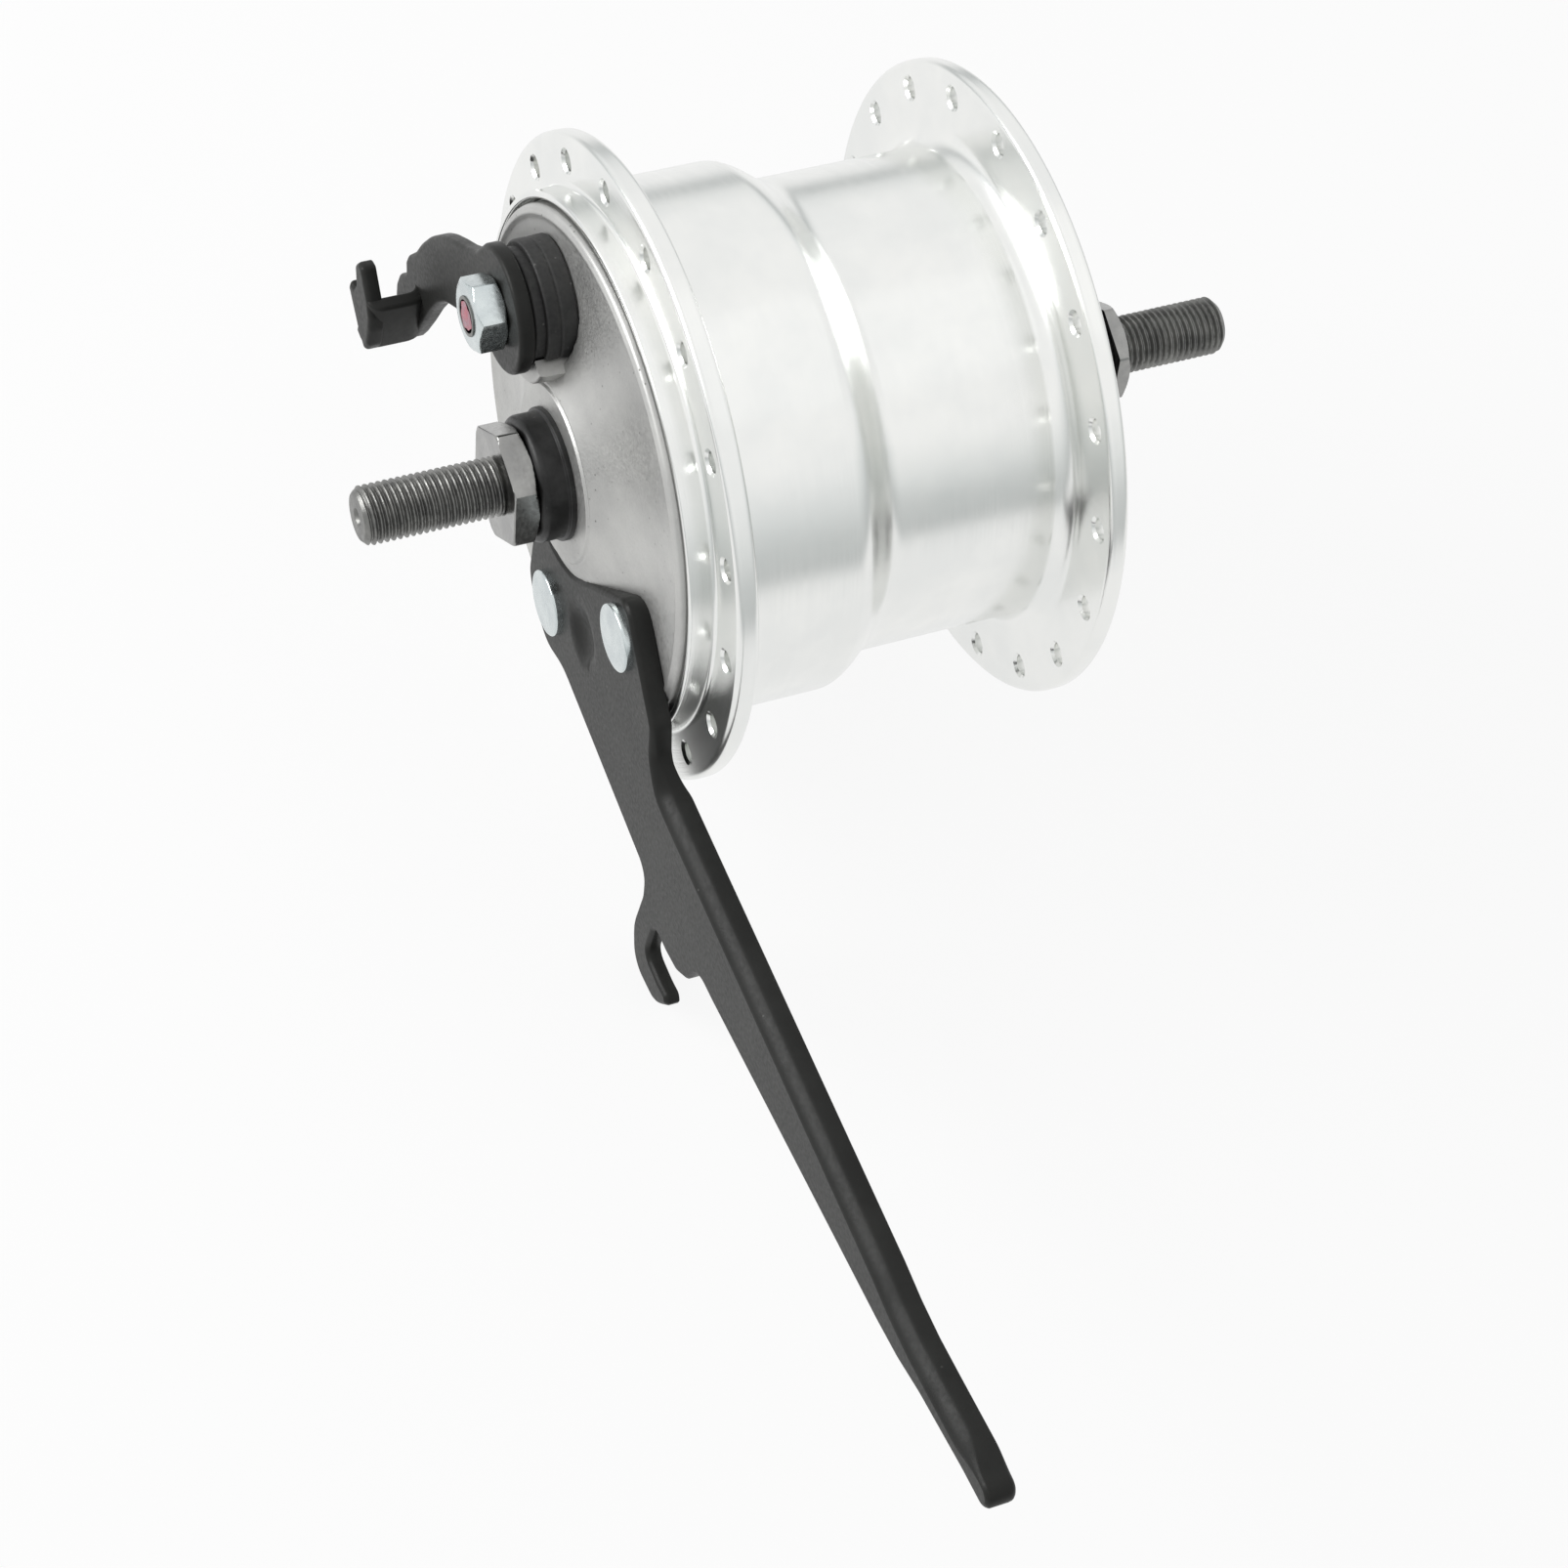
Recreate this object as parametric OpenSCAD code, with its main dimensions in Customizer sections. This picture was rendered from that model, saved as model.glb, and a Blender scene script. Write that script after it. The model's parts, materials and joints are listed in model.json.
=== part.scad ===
// Front bicycle hub with a drum brake on its left end and a dynamo in its right end.
// The axle lies along Y, with the brake at -Y. The reaction arm points along +X, and +Z is up.
// The origin is on the axle, midway between the two locknut faces. All sizes are in millimetres.

/* [Axle] */
// Distance between the outer faces of the two locknuts
over_locknuts = 100; // [96:1:110]
// Diameter of the threaded ends
axle_d = 8.9; // [8:0.05:9.5]
// Diameter of the ground middle
axle_body_d = 12; // [11.6:0.1:12.6]
// Length of thread past the left locknut
left_stick = 21; // [12:0.2:30]
// Length of thread past the right locknut
right_stick = 18; // [10:0.2:30]
// Chamfer on the ends of the axle
axle_chamfer = 0.9; // [0.4:0.1:1.4]
// Diameter of the centre drilling in the axle ends
centre_drill_d = 2.5; // [1:0.1:3]
// Width of the groove that takes the leads out
groove_w = 2.6; // [2.4:0.1:3.2]
// Depth of that groove
groove_depth = 1.5; // [1.3:0.05:1.5]

/* [Locknuts and spacers] */
// Width across the flats of the left locknut
left_nut_af = 16.5; // [14:0.5:18]
// Thickness of the left locknut
left_nut_t = 4.1; // [3:0.1:6]
// Diameter of the black ring behind the left locknut
spacer_d = 19; // [17:0.2:20]
// Thickness of the black ring
spacer_t = 4.9; // [4:0.1:7]
// Diameter of the flange at the back of the black ring
spacer_flange_d = 20; // [19.4:0.2:22]
// Thickness of that flange
spacer_flange_t = 0.9; // [0.6:0.1:1.5]
// Width across the flats of the right locknut
right_nut_af = 14; // [12.5:0.5:16]
// Thickness of the right locknut
right_nut_t = 2.3; // [1.6:0.1:3]
// Diameter of the right washer
right_washer_d = 12; // [11:0.5:15]
// Thickness of the right washer
right_washer_t = 1; // [0.6:0.1:2]
// Wall of the sleeves that space the bearings on the axle
sleeve_wall = 2; // [1.4:0.1:2.1]

/* [Hub shell] */
// Diameter that the brake linings run on
drum_d = 70; // [69:0.5:74]
// Wall of the iron drum liner
liner_t = 1.8; // [1.2:0.1:2.5]
// Wall of the shell outside the liner
drum_wall = 3.05; // [2.2:0.05:3.6]
// Length of the iron drum liner
liner_len = 20; // [17:0.5:20]
// Wall of the shell outside the dynamo
dynamo_wall = 1.85; // [1.4:0.05:2.2]
// How far the spoke flanges reach past the drum
flange_over = 13.4; // [12.8:0.1:15]
// Thickness of the left spoke flange
left_flange_t = 3.3; // [2.6:0.1:3.6]
// Thickness of the right spoke flange
right_flange_t = 2.9; // [2.4:0.1:3.6]
// Distance from the left locknut face to the middle of the left flange
left_flange_set = 19.7; // [19.5:0.1:21]
// Distance from the right locknut face to the middle of the right flange
right_flange_set = 23.1; // [22:0.05:24]
// Height of the collar outside the right flange
collar_h = 2.5; // [2:0.05:3.5]
// Length of the rounded shoulder from the drum down to the dynamo
shoulder_len = 8.2; // [5:0.1:9]
// Radius of the fillet from the dynamo up to the right flange
flange_fillet = 5; // [2:0.2:5.2]
// Thickness of the web between the brake and the dynamo
web_t = 5.5; // [4.5:0.1:6]
// Thickness of the wall round the bearing seats
seat_wall = 3.5; // [2.5:0.1:4]
// Thickness of the dished wall of the end cover
cover_t = 2.2; // [1.6:0.1:2.6]

/* [Spoke holes] */
// Distance from the edge of a flange to the middle of a spoke hole
spoke_set = 4.1; // [3.5:0.1:4.3]
// Number of spoke holes in each flange
spoke_count = 18; // [10:1:24]
// Diameter of a spoke hole
spoke_hole_d = 3.2; // [2.4:0.1:3.4]
// Angle of the first hole in the left flange
left_phase = 15.5; // [0:0.5:36]
// Angle of the first hole in the right flange
right_phase = 5.5; // [0:0.5:36]

/* [Brake plate] */
// How far the rim of the brake plate reaches past the drum
plate_over = 3.8; // [3.4:0.1:4.2]
// Thickness of the brake plate near its rim
plate_t = 3.1; // [2.4:0.1:3.4]
// Diameter of the round pad under the black ring
pad_d = 27.2; // [24:0.2:28]
// Height of the pad above the face of the plate
pad_h = 4.3; // [3.4:0.1:5]
// Thickness of the plate at the axle, pad included
plate_hub_t = 8.4; // [8:0.1:9]
// Gap between the rim of the plate and the lip of the shell
rim_gap = 0.6; // [0.4:0.1:1]
// How far the lip of the shell lies behind the face of the plate
lip_set = 0.7; // [0.3:0.1:1.2]

/* [Drum brake] */
// Angle of the line from the anchor pin to the cam
brake_angle = 133; // [128:1:138]
// Distance from the axle to the cam spindle, as a share of the drum's radius
cam_share = 0.73; // [0.71:0.01:0.75]
// Distance from the axle to the anchor pin, as a share of the drum's radius
anchor_share = 0.72; // [0.69:0.01:0.73]
// Diameter of the anchor pin
anchor_d = 8; // [7:0.2:9]
// Diameter of the cam spindle in its bush
spindle_d = 10; // [9.2:0.1:10.2]
// Thickness of the cam between its two flats
cam_t = 7; // [6:0.1:8]
// Wall of the bronze bush
bush_wall = 1.4; // [1:0.1:1.6]
// Width of the brake shoes
shoe_w = 15; // [12:0.5:15]
// Thickness of the web of a shoe
shoe_web_t = 4; // [3:0.1:6]
// Thickness of the rim of a shoe
shoe_rim_t = 2.4; // [1.8:0.1:3]
// Depth of a shoe below its rim
shoe_depth = 8.8; // [8:0.1:9.4]
// Thickness of the linings
lining_t = 3; // [2:0.1:3.4]
// Gap between the linings and the drum with the brake off
lining_gap = 0.8; // [0.7:0.05:1]
// Angle of drum that one lining covers
lining_sweep = 120; // [90:1:124]
// Wire of the shoe return spring
spring_wire = 1.2; // [0.8:0.1:1.4]
// Outer diameter of the shoe return spring
spring_d = 4.8; // [4:0.1:5]

/* [Reaction arm] */
// Distance from the axle to the tip of the arm
arm_reach = 165.4; // [150:0.2:190]
// Thickness of the arm
arm_t = 3.3; // [2.4:0.1:3.8]
// Depth of the turned edges of the long strip
arm_edge_t = 4.6; // [4.2:0.1:6]
// Width of the turned edges
arm_edge_w = 2; // [1.4:0.1:2.6]
// Radius of the hollow that clears the pad of the plate
arm_hollow_r = 16.2; // [15.6:0.1:17.4]
// Height of the tip above the axle
arm_tip_z = 0.6; // [-4:0.2:4]
// Width of the tip
arm_tip_w = 4.2; // [3.6:0.1:6]
// Distance from the kink in the strip to the tip
arm_kink_back = 29.5; // [20:0.5:32]
// Width of the strip at the kink
arm_kink_w = 6.7; // [5:0.1:8]
// Diameter of the rivet heads
rivet_head_d = 10.3; // [8:0.1:11]
// Diameter of the rivet shanks
rivet_d = 5; // [4:0.1:5.4]
// Distance from the axle to the rivets
rivet_r = 27.3; // [26.5:0.1:28]
// Angle between the middle of the head and a rivet
rivet_spread = 35.1; // [33:0.1:37]
// Diameter of the round dish between the rivets
dish_d = 9.8; // [7:0.2:10]
// Depth of that dish
dish_depth = 1.4; // [0.6:0.1:1.6]
// Width of the slot in the cable hook
hook_slot_w = 9.2; // [7.6:0.1:9.6]
// Width of metal round the slot of the hook
hook_wall = 3; // [2.6:0.1:4]
// Thickness of the hook
hook_t = 2.4; // [2:0.1:3.2]

/* [Brake lever] */
// Thickness of the lever plate
lever_t = 2.4; // [2:0.1:2.6]
// Diameter of the boss of the lever
lever_boss_d = 19.2; // [17:0.2:20]
// Gap between the two ears of the cable fork
fork_gap = 5.9; // [4.6:0.1:7]
// Width across the flats of the lever nut
lever_nut_af = 10; // [9:0.5:12]
// Thickness of the lever nut
lever_nut_t = 4.5; // [3.4:0.1:5]
// Diameter of the threaded end of the spindle
stud_d = 6; // [5:0.1:7]
// Diameter of the rubber boot
boot_d = 18.8; // [18:0.1:19.2]
// Wall of the rubber boot
boot_wall = 0.9; // [0.7:0.1:1.2]

/* [Bearings] */
// Outer diameter of the bearings
bearing_od = 28; // [27.4:0.1:28.6]
// Width of the bearings
bearing_w = 8; // [7.4:0.1:8.6]
// Diameter of a ball
ball_d = 4.76; // [4.2:0.02:4.9]
// Number of balls in a bearing
ball_count = 8; // [6:1:9]
// Distance from the left locknut face to the middle of the left bearing
left_bearing_set = 45.3; // [44.9:0.1:45.7]
// Distance from the right locknut face to the middle of the right bearing
right_bearing_set = 16; // [15:0.1:16.4]
// Thickness of the bearing shields
shield_t = 0.4; // [0.3:0.05:0.6]

/* [Dynamo] */
// Number of claw fingers on each pole piece
pole_pairs = 14; // [8:1:14]
// Length of the spacers between the stator and the two bearings
stator_gap = 6; // [5.8:0.1:7]
// Diameter of the stator over the claw fingers
stator_d = 59.4; // [57.4:0.2:60.4]
// Diameter of the iron core inside the coil
core_d = 20; // [19:0.2:22]
// Thickness of the pole discs
claw_t = 2.5; // [2:0.1:3]
// Thickness of the claw fingers
finger_t = 2.5; // [2:0.1:2.6]
// Share of its pitch that a claw finger fills
finger_share = 0.73; // [0.5:0.01:0.8]
// Wall of the coil bobbin
bobbin_wall = 1.2; // [0.8:0.1:1.5]
// Gap between the claw fingers and the magnets
air_gap = 0.3; // [0.2:0.02:0.5]
// Thickness of the magnets
magnet_t = 2; // [1.5:0.1:2.5]
// How far the magnets and their yoke reach past each end of the stator
magnet_over = 1; // [0:0.1:1.2]
// Wall of the iron yoke behind the magnets
yoke_t = 1.9; // [1.4:0.1:2.2]

/* [Connector] */
// Thickness of the connector along the axle
connector_t = 6.2; // [6:0.1:7]
// Diameter of the ring of the connector
connector_ring_d = 13.6; // [12.8:0.2:14]
// Distance from the axle to the open end of the socket
connector_reach = 19; // [17:0.2:22]
// Inner width of the socket
socket_w = 10; // [9:0.1:12]
// Inner depth of the socket
socket_depth = 6.5; // [5:0.1:7]
// Wall of the connector
connector_wall = 1; // [0.8:0.05:1]
// Width of a terminal blade
blade_w = 3; // [2.4:0.1:3.4]
// Thickness of a terminal blade
blade_t = 0.8; // [0.5:0.1:1]
// Distance between the middles of the two blades
blade_pitch = 6.4; // [6:0.1:7]
// Diameter of a lead with its insulation
lead_d = 1; // [0.8:0.05:1.1]

/* [Fits] */
// Radial gap of pieces that sit fast together
seat_gap = 0.03; // [0.01:0.01:0.06]
// Radial gap of a shaft that turns in a bush
run_gap = 0.05; // [0.02:0.01:0.1]
// Gap between pieces that move past each other
move_gap = 0.3; // [0.25:0.05:0.5]

/* [Hidden] */
$fn = 96;

// Places along the axle, from left to right
y_left_end = -over_locknuts / 2 - left_stick;
y_left_nut = -over_locknuts / 2;
y_spacer = y_left_nut + left_nut_t;
y_pad = y_spacer + spacer_t;
y_face = y_pad + pad_h;
y_inner = y_face + plate_t;
y_body0 = y_pad + plate_hub_t;
y_lip = y_face + lip_set;
y_mouth = y_inner + 2 * move_gap;
y_right_face = over_locknuts / 2;
y_right_nut = y_right_face - right_nut_t;
y_right_washer = y_right_nut - right_washer_t;
y_body1 = y_right_washer - connector_t;
y_right_end = y_right_face + right_stick;
left_bearing = y_left_nut + left_bearing_set;
right_bearing = y_right_face - right_bearing_set;
y_stator0 = left_bearing + bearing_w / 2 + stator_gap;
y_stator1 = right_bearing - bearing_w / 2 - stator_gap;
left_flange_y = y_left_nut + left_flange_set;
right_flange_y = y_right_face - right_flange_set;
y_shell1 = right_flange_y + right_flange_t / 2 + collar_h;
cut_over = 1;

// Radii of the pieces on the axle
// Where a nut sits, the axle and the nut meet on the core of the thread
axle_r = axle_d / 2;
thread_h = 0.5;
core_r = axle_r - thread_h;
body_r = axle_body_d / 2;
sleeve_r = body_r + seat_gap + sleeve_wall;
left_nut_cut = 0.7;
right_nut_cut = 0.4;
spacer_chamfer = 1;

// Bearings: the balls run midway between the bore and the outer diameter
ball_r = ball_d / 2;
ball_pitch_r = (body_r + bearing_od / 2) / 2;
race_share = 0.27;
race_h = race_share * (bearing_od / 2 - body_r);
groove_play = 0.08;
groove_r = ball_r + groove_play;
shield_set = 0.2;
cage_half = 0.7;
cage_rim = 0.5;
cage_half_w = ball_r + cage_rim;
bearing_lip = 1.5;
lip_t = 1;

// Dynamo: magnets and yoke follow the stator
stator_r = stator_d / 2;
magnet_r0 = stator_r + air_gap;
magnet_r1 = magnet_r0 + magnet_t;
yoke_r1 = magnet_r1 + seat_gap + yoke_t;
y_magnet0 = y_stator0 - magnet_over;
y_magnet1 = y_stator1 + magnet_over;
disc_r = stator_r - finger_t;
finger_root = 0.5;
coil_r0 = core_d / 2 + seat_gap + bobbin_wall;
bobbin_set = 1.4;
bobbin_play = 0.2;
winding_set = 1;
bobbin_r1 = disc_r - bobbin_set;
bobbin_y0 = y_stator0 + claw_t + bobbin_play;
bobbin_y1 = y_stator1 - claw_t - bobbin_play;
magnet_gap = 0.25;

// Hub shell
drum_r = drum_d / 2;
liner_r = drum_r + liner_t;
shell_drum_r = liner_r + seat_gap + drum_wall;
dynamo_bore_r = yoke_r1 + seat_gap;
shell_dynamo_r = dynamo_bore_r + dynamo_wall;
flange_r = drum_r + flange_over;
flange_edge = 1;
spoke_r = flange_r - spoke_set;
plate_r = drum_r + plate_over;
lip_r0 = plate_r + rim_gap;
lip_wall = 1.1;
lip_r1 = lip_r0 + lip_wall;
lip_fillet = 2;
flange_root = 1.5;
y_left_flange0 = left_flange_y - left_flange_t / 2;
y_left_flange1 = left_flange_y + left_flange_t / 2;
y_right_flange0 = right_flange_y - right_flange_t / 2;
y_right_flange1 = right_flange_y + right_flange_t / 2;
bearing_bore_r = bearing_od / 2 + seat_gap;
y_housing0 = left_bearing - bearing_w / 2 - lip_t;
housing_edge = 0.5;
y_housing1 = left_bearing + bearing_w / 2 + housing_edge;
y_web0 = y_housing0 + housing_edge;
y_web1 = y_web0 + web_t;
liner_set = 2;
y_liner1 = y_web0 - liner_set;
y_liner0 = y_liner1 - liner_len;
y_shoulder0 = y_housing0;
collar_wall = 3;
collar_r = dynamo_bore_r + collar_wall;

// End cover of the dynamo
cover_lip = 1.5;
cover_lip_r = dynamo_bore_r + cover_lip;
cover_lip_t = 1.4;
cover_edge = [1, 0.6];
cover_crown = [3, 1.6];
cover_fall = 2.4;
spigot_len = 3;
spigot_wall = 3;
y_cover1 = right_bearing + bearing_w / 2;
spanner_hole_d = 3;
spanner_hole_r = 25;
spanner_holes = 4;
spanner_phase = 45;

// Drum brake: u runs from the axle to the cam, v across it
cam_r = cam_share * drum_r;
anchor_r = anchor_share * drum_r;
cam_at = cam_r * [cos(brake_angle), sin(brake_angle)];
anchor_at = -anchor_r * [cos(brake_angle), sin(brake_angle)];
anchor_pin_r = anchor_d / 2;
pin_over = 1;
spindle_r = spindle_d / 2;
bush_r = spindle_r + run_gap + bush_wall;
boss_r = boot_d / 2 - boot_wall - seat_gap;
boss_rise = 0.2;
y_boss = y_pad - boss_rise;
lining_r1 = drum_r - lining_gap;
lining_r0 = lining_r1 - lining_t;
shoe_r0 = lining_r0 - shoe_rim_t - shoe_depth;
shoe_set = 2;
y_shoe1 = y_liner1 - shoe_set;
y_shoe0 = y_shoe1 - shoe_w;
y_shoe_mid = (y_shoe0 + y_shoe1) / 2;
cam_gap = 0.3;
shoe_flat = cam_t / 2 + cam_gap;
boss_shoe_gap = 0.7;
cam_shoulder = 0.4;
y_boss_in = y_shoe0 - boss_shoe_gap;
rim_more = 10;
spring_set = 3;
spring_angle = 47.6;
spring_u = (shoe_r0 + spring_set) * cos(spring_angle);
spring_v = (shoe_r0 + spring_set) * sin(spring_angle);
spring_share = 0.59;
spring_half = spring_share * spring_v;
hook_set = 0.5;
// The hooks sit off the middle of their holes, which leaves the shoes room to open
spring_play = 0.43;
spring_hole_play = 0.6;
spring_hole_r = spring_wire / 2 + spring_hole_play;
y_spring = y_shoe_mid - shoe_web_t / 2 - spring_d / 2 - move_gap;

// Brake lever: its outline is given from the cam spindle
lever_stand = 2.3;
y_lever1 = y_boss - lever_stand;
y_lever0 = y_lever1 - lever_t;
y_ear1 = y_lever0 - fork_gap;
y_ear0 = y_ear1 - lever_t;
y_boot = y_lever1 + move_gap;
lever_boss_r = lever_boss_d / 2;
boot_r = boot_d / 2;
stud_r = stud_d / 2;
stud_cut = 0.5;
stud_flat = stud_r - stud_cut;
stud_over = 0.2;
nut_cut = 0.5;
// Rubber boot and the lug of the plate that shows through its cut-out
boot_disc_t = 0.4;
boot_cut = 40;
boot_inner = boot_wall / 3;
boot_collar_r = boot_r - boot_wall;
lug_r = 11.4;
lug_half = 36;
lug_gap = 0.5;
lug_wall = boot_collar_r + boot_inner + seat_gap;
y_lug = y_lever1 + lug_gap;
lever_arm = [
    [-8, 5.2], [-10.2, 0.6], [-13.8, -3.3], [-17.1, -6.3], [-20.5, -9.6], [-23, -12.6], [-25.4, -16.2],
    [-27.8, -21], [-29.3, -25.2], [-31.5, -29], [-31.9, -30.8], [-31.1, -33], [-33.4, -36.4], [-33.9, -39.2],
    [-33.4, -41.8], [-25.6, -43.7], [-24.3, -39.9], [-22.4, -34.1], [-20.8, -28.8], [-19, -24.5],
    [-16.5, -20.9], [-11.3, -16.2], [0, -9.4]
];
near_ear = [
    [-32, -29.2], [-31, -27.4], [-29.4, -26.8], [-27.6, -28.4], [-25.4, -30.3], [-23.9, -32.4], [-23.3, -35],
    [-23.2, -38.8], [-24.2, -40.9], [-27.7, -39.6], [-30.6, -38], [-33.2, -36.3], [-32.9, -34.6],
    [-31.2, -34.4], [-30.6, -32.4]
];
fork_web_x = -23.6;
fork_web_z = [-40.4, -30.3];

// Reaction arm: its outline lies in the plane across the axle
arm_y0 = y_face - arm_t;
arm_y1 = arm_y0 + arm_edge_t;
head_turn = 5.5;
head_mid = brake_angle - 180 + head_turn;
head_left = -3.5;
head_low = -36;
head_floor = -33.4;
hollow_end = -39;
corner_at = [27, 1.1];
corner_r = 3.2;
corner_turn = [141, 54];
shoulder_at = [41.6, -5.5];
shoulder_low = [43.2, -9.3];
foot_x = 14.4;
toe_r = 6.2;
toe_at = [7, head_low + toe_r];
toe_turn = [-75, -125];
toe_side = [-1, -33];
side_z = -26.8;
plate_play = 0.2;
strip_root = [47.4, -13.5];
strip_low = [70.7, -27.5];
kink_x = arm_reach - arm_kink_back;
kink_z = -7.8;
tip_at = [arm_reach - arm_tip_w / 2, arm_tip_z];
tip_angle = atan2(arm_tip_z - kink_z, tip_at[0] - kink_x);
hook_at = [61.6, -43];
hook_angle = 4;
slot_r = hook_slot_w / 2;
hook_r = slot_r + hook_wall;
hook_shift = [-2.6, -3.3];
hook_mid = hook_at + hook_shift;
hook_end = 4.2;
hook_nose = 0.4;
hook_turn = [-45, -178];
hook_neck = [0.2, 3.4];
hook_root = 1.4;
lip_at = [68.4, -34.2];
lip_cut = [1.2, 1.4];
kink_run = 6;
kink_lap = 1;
rivet_head_h = 1.2;
rivet_edge = 0.3;
rivet_tail_r = 4;
rivet_tail_h = 1.1;
rivet_tail_edge = 0.55;
rivets_at = [for (a = [head_mid - rivet_spread, head_mid + rivet_spread]) rivet_r * [cos(a), sin(a)]];
dish_sphere_r = (pow(dish_d / 2, 2) + pow(dish_depth, 2)) / (2 * dish_depth);

// Connector
y_socket0 = y_body1 + connector_wall;
y_socket1 = y_right_washer - connector_wall;
socket_floor = connector_reach - socket_depth;
blade_hold = 2.9;
blade_root = socket_floor - blade_hold;
blade_set = 1;
pocket_play = 0.2;
y_blade = (y_socket0 + y_socket1) / 2;
lead_x = body_r - groove_depth / 2;
lead_gap = 0.6;
lead_rise = 1.4;
lead_coil_r = coil_r0 + lead_rise;
lead_turn = 1.2;
y_lead_turn = y_stator1 + lead_turn;
lead_end = 2.2;
y_lead_end = y_body1 + lead_end;
lead_slot_play = 0.4;
lead_slot_w = groove_w + lead_slot_play;

// Lays a lathe profile of [radius, y] points along the axle
module lathe(profile) {
    rotate([-90, 0, 0]) rotate_extrude() polygon(profile);
}

// Gives an outline drawn in X and Z its depth along the axle
module slab(y0, y1) {
    translate([0, y1, 0]) rotate([90, 0, 0]) linear_extrude(y1 - y0) children();
}

// Round bar along the axle
module bar(r, y0, y1) {
    slab(y0, y1) circle(r);
}

// Round tube along the axle
module tube(r0, r1, y0, y1) {
    slab(y0, y1) difference() {
        circle(r1);
        circle(r0);
    }
}

// Moves to a point in X and Z
module at(p) {
    translate([p[0], 0, p[1]]) children();
}

// Points on an arc about c
function arc(c, r, a0, a1, n) = [
    for (i = [0:n]) let (a = a0 + (a1 - a0) * i / n) c + r * [cos(a), sin(a)]
];

// Wedge of a circle between two angles, wide enough for any ring
module wedge(r, a0, a1) {
    polygon(concat([[0, 0]], arc([0, 0], 2 * r, a0, a1, 6)));
}

// Hexagon nut with the corners of one face turned off, the one that faces -Y or +Y
module hex_nut(af, bore_r, y0, y1, facing, cut) {
    corner_r = af / 2 / cos(30);
    y_out = facing < 0 ? y0 : y1;
    y_back = facing < 0 ? y1 : y0;
    difference() {
        intersection() {
            slab(y0, y1) circle(r = corner_r, $fn = 6);
            lathe([
                [0, y_out], [af / 2, y_out], [corner_r, y_out - facing * cut], [corner_r, y_back],
                [0, y_back]
            ]);
        }
        bar(bore_r, y0 - cut_over, y1 + cut_over);
    }
}

module axle() {
    color("#8c8e8c") difference() {
        lathe([
            [0, y_left_end], [axle_r - axle_chamfer, y_left_end], [axle_r, y_left_end + axle_chamfer],
            [axle_r, y_left_nut], [core_r, y_left_nut], [core_r, y_spacer], [axle_r, y_spacer],
            [axle_r, y_body0], [body_r, y_body0], [body_r, y_body1], [axle_r, y_body1],
            [axle_r, y_right_nut], [core_r, y_right_nut], [core_r, y_right_face], [axle_r, y_right_face],
            [axle_r, y_right_end - axle_chamfer], [axle_r - axle_chamfer, y_right_end], [0, y_right_end]
        ]);
        for (s = [-1, 1]) {
            y_end = s < 0 ? y_left_end : y_right_end;
            lathe([
                [0, y_end - s * centre_drill_d], [centre_drill_d / 2, y_end - s * centre_drill_d / 2],
                [centre_drill_d, y_end + s * centre_drill_d / 2], [0, y_end + s * centre_drill_d / 2]
            ]);
        }
        translate([-body_r - cut_over, y_stator1, -groove_w / 2])
            cube([groove_depth + cut_over, y_body1 - y_stator1 + cut_over, groove_w]);
    }
}

module left_locknut() {
    color("#d3dad8") hex_nut(left_nut_af, core_r + seat_gap, y_left_nut, y_spacer, 1, left_nut_cut);
}

module left_spacer() {
    flange_y = y_pad - spacer_flange_t;
    color("#1d1d1d") lathe([
        [axle_r + seat_gap, y_spacer], [spacer_d / 2 - spacer_chamfer, y_spacer],
        [spacer_d / 2, y_spacer + spacer_chamfer], [spacer_d / 2, flange_y],
        [spacer_flange_d / 2, flange_y], [spacer_flange_d / 2, y_pad],
        [axle_r + seat_gap, y_pad]
    ]);
}

// Cast plate: a flat pad at the axle, a dished fall to a flat ring, and a rounded rim
module brake_plate() {
    pad_r = pad_d / 2;
    pad_step = 0.4;
    flat_w = 6.9;
    flat_r = plate_r - flat_w;
    rim = 0.8;
    hub_r = 10;
    fall_steps = 8;
    fall_r = pad_r + pad_step;
    fall = [for (i = [0:fall_steps]) let (k = i / fall_steps)
        [fall_r + (flat_r - fall_r) * k, y_face - (pad_h - pad_step) * pow(1 - k, 2)]];
    profile = concat(
        [[axle_r + seat_gap, y_pad], [pad_r, y_pad]], fall,
        [[plate_r - rim, y_face], [plate_r, y_face + rim], [plate_r, y_inner], [hub_r, y_inner],
         [hub_r, y_body0], [axle_r + seat_gap, y_body0]]
    );
    color("#b9b9b5") difference() {
        union() {
            difference() {
                lathe(profile);
                at(cam_at) bar(boot_r + move_gap, y_pad - cut_over, y_face);
                slab(y_pad - cut_over, y_face) polygon(arm_head(plate_play));
            }
            at(cam_at) {
                bar(boss_r, y_boss, y_boss_in);
                slab(y_boss, y_inner) lug(boss_r / 2);
                slab(y_lug, y_inner) lug(lug_wall);
            }
        }
        at(cam_at) bar(bush_r + seat_gap, y_boss - cut_over, y_boss_in + cut_over);
        at(anchor_at) bar(anchor_pin_r + seat_gap, y_face - cut_over, y_inner + cut_over);
        for (p = rivets_at) at(p) bar(rivet_d / 2 + seat_gap, y_pad, y_inner + cut_over);
    }
}

// Sector of a ring on the side of the boss that faces the axle
module lug(r0) {
    intersection() {
        difference() {
            circle(lug_r);
            circle(r0);
        }
        wedge(lug_r, brake_angle + 180 - lug_half, brake_angle + 180 + lug_half);
    }
}

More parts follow.
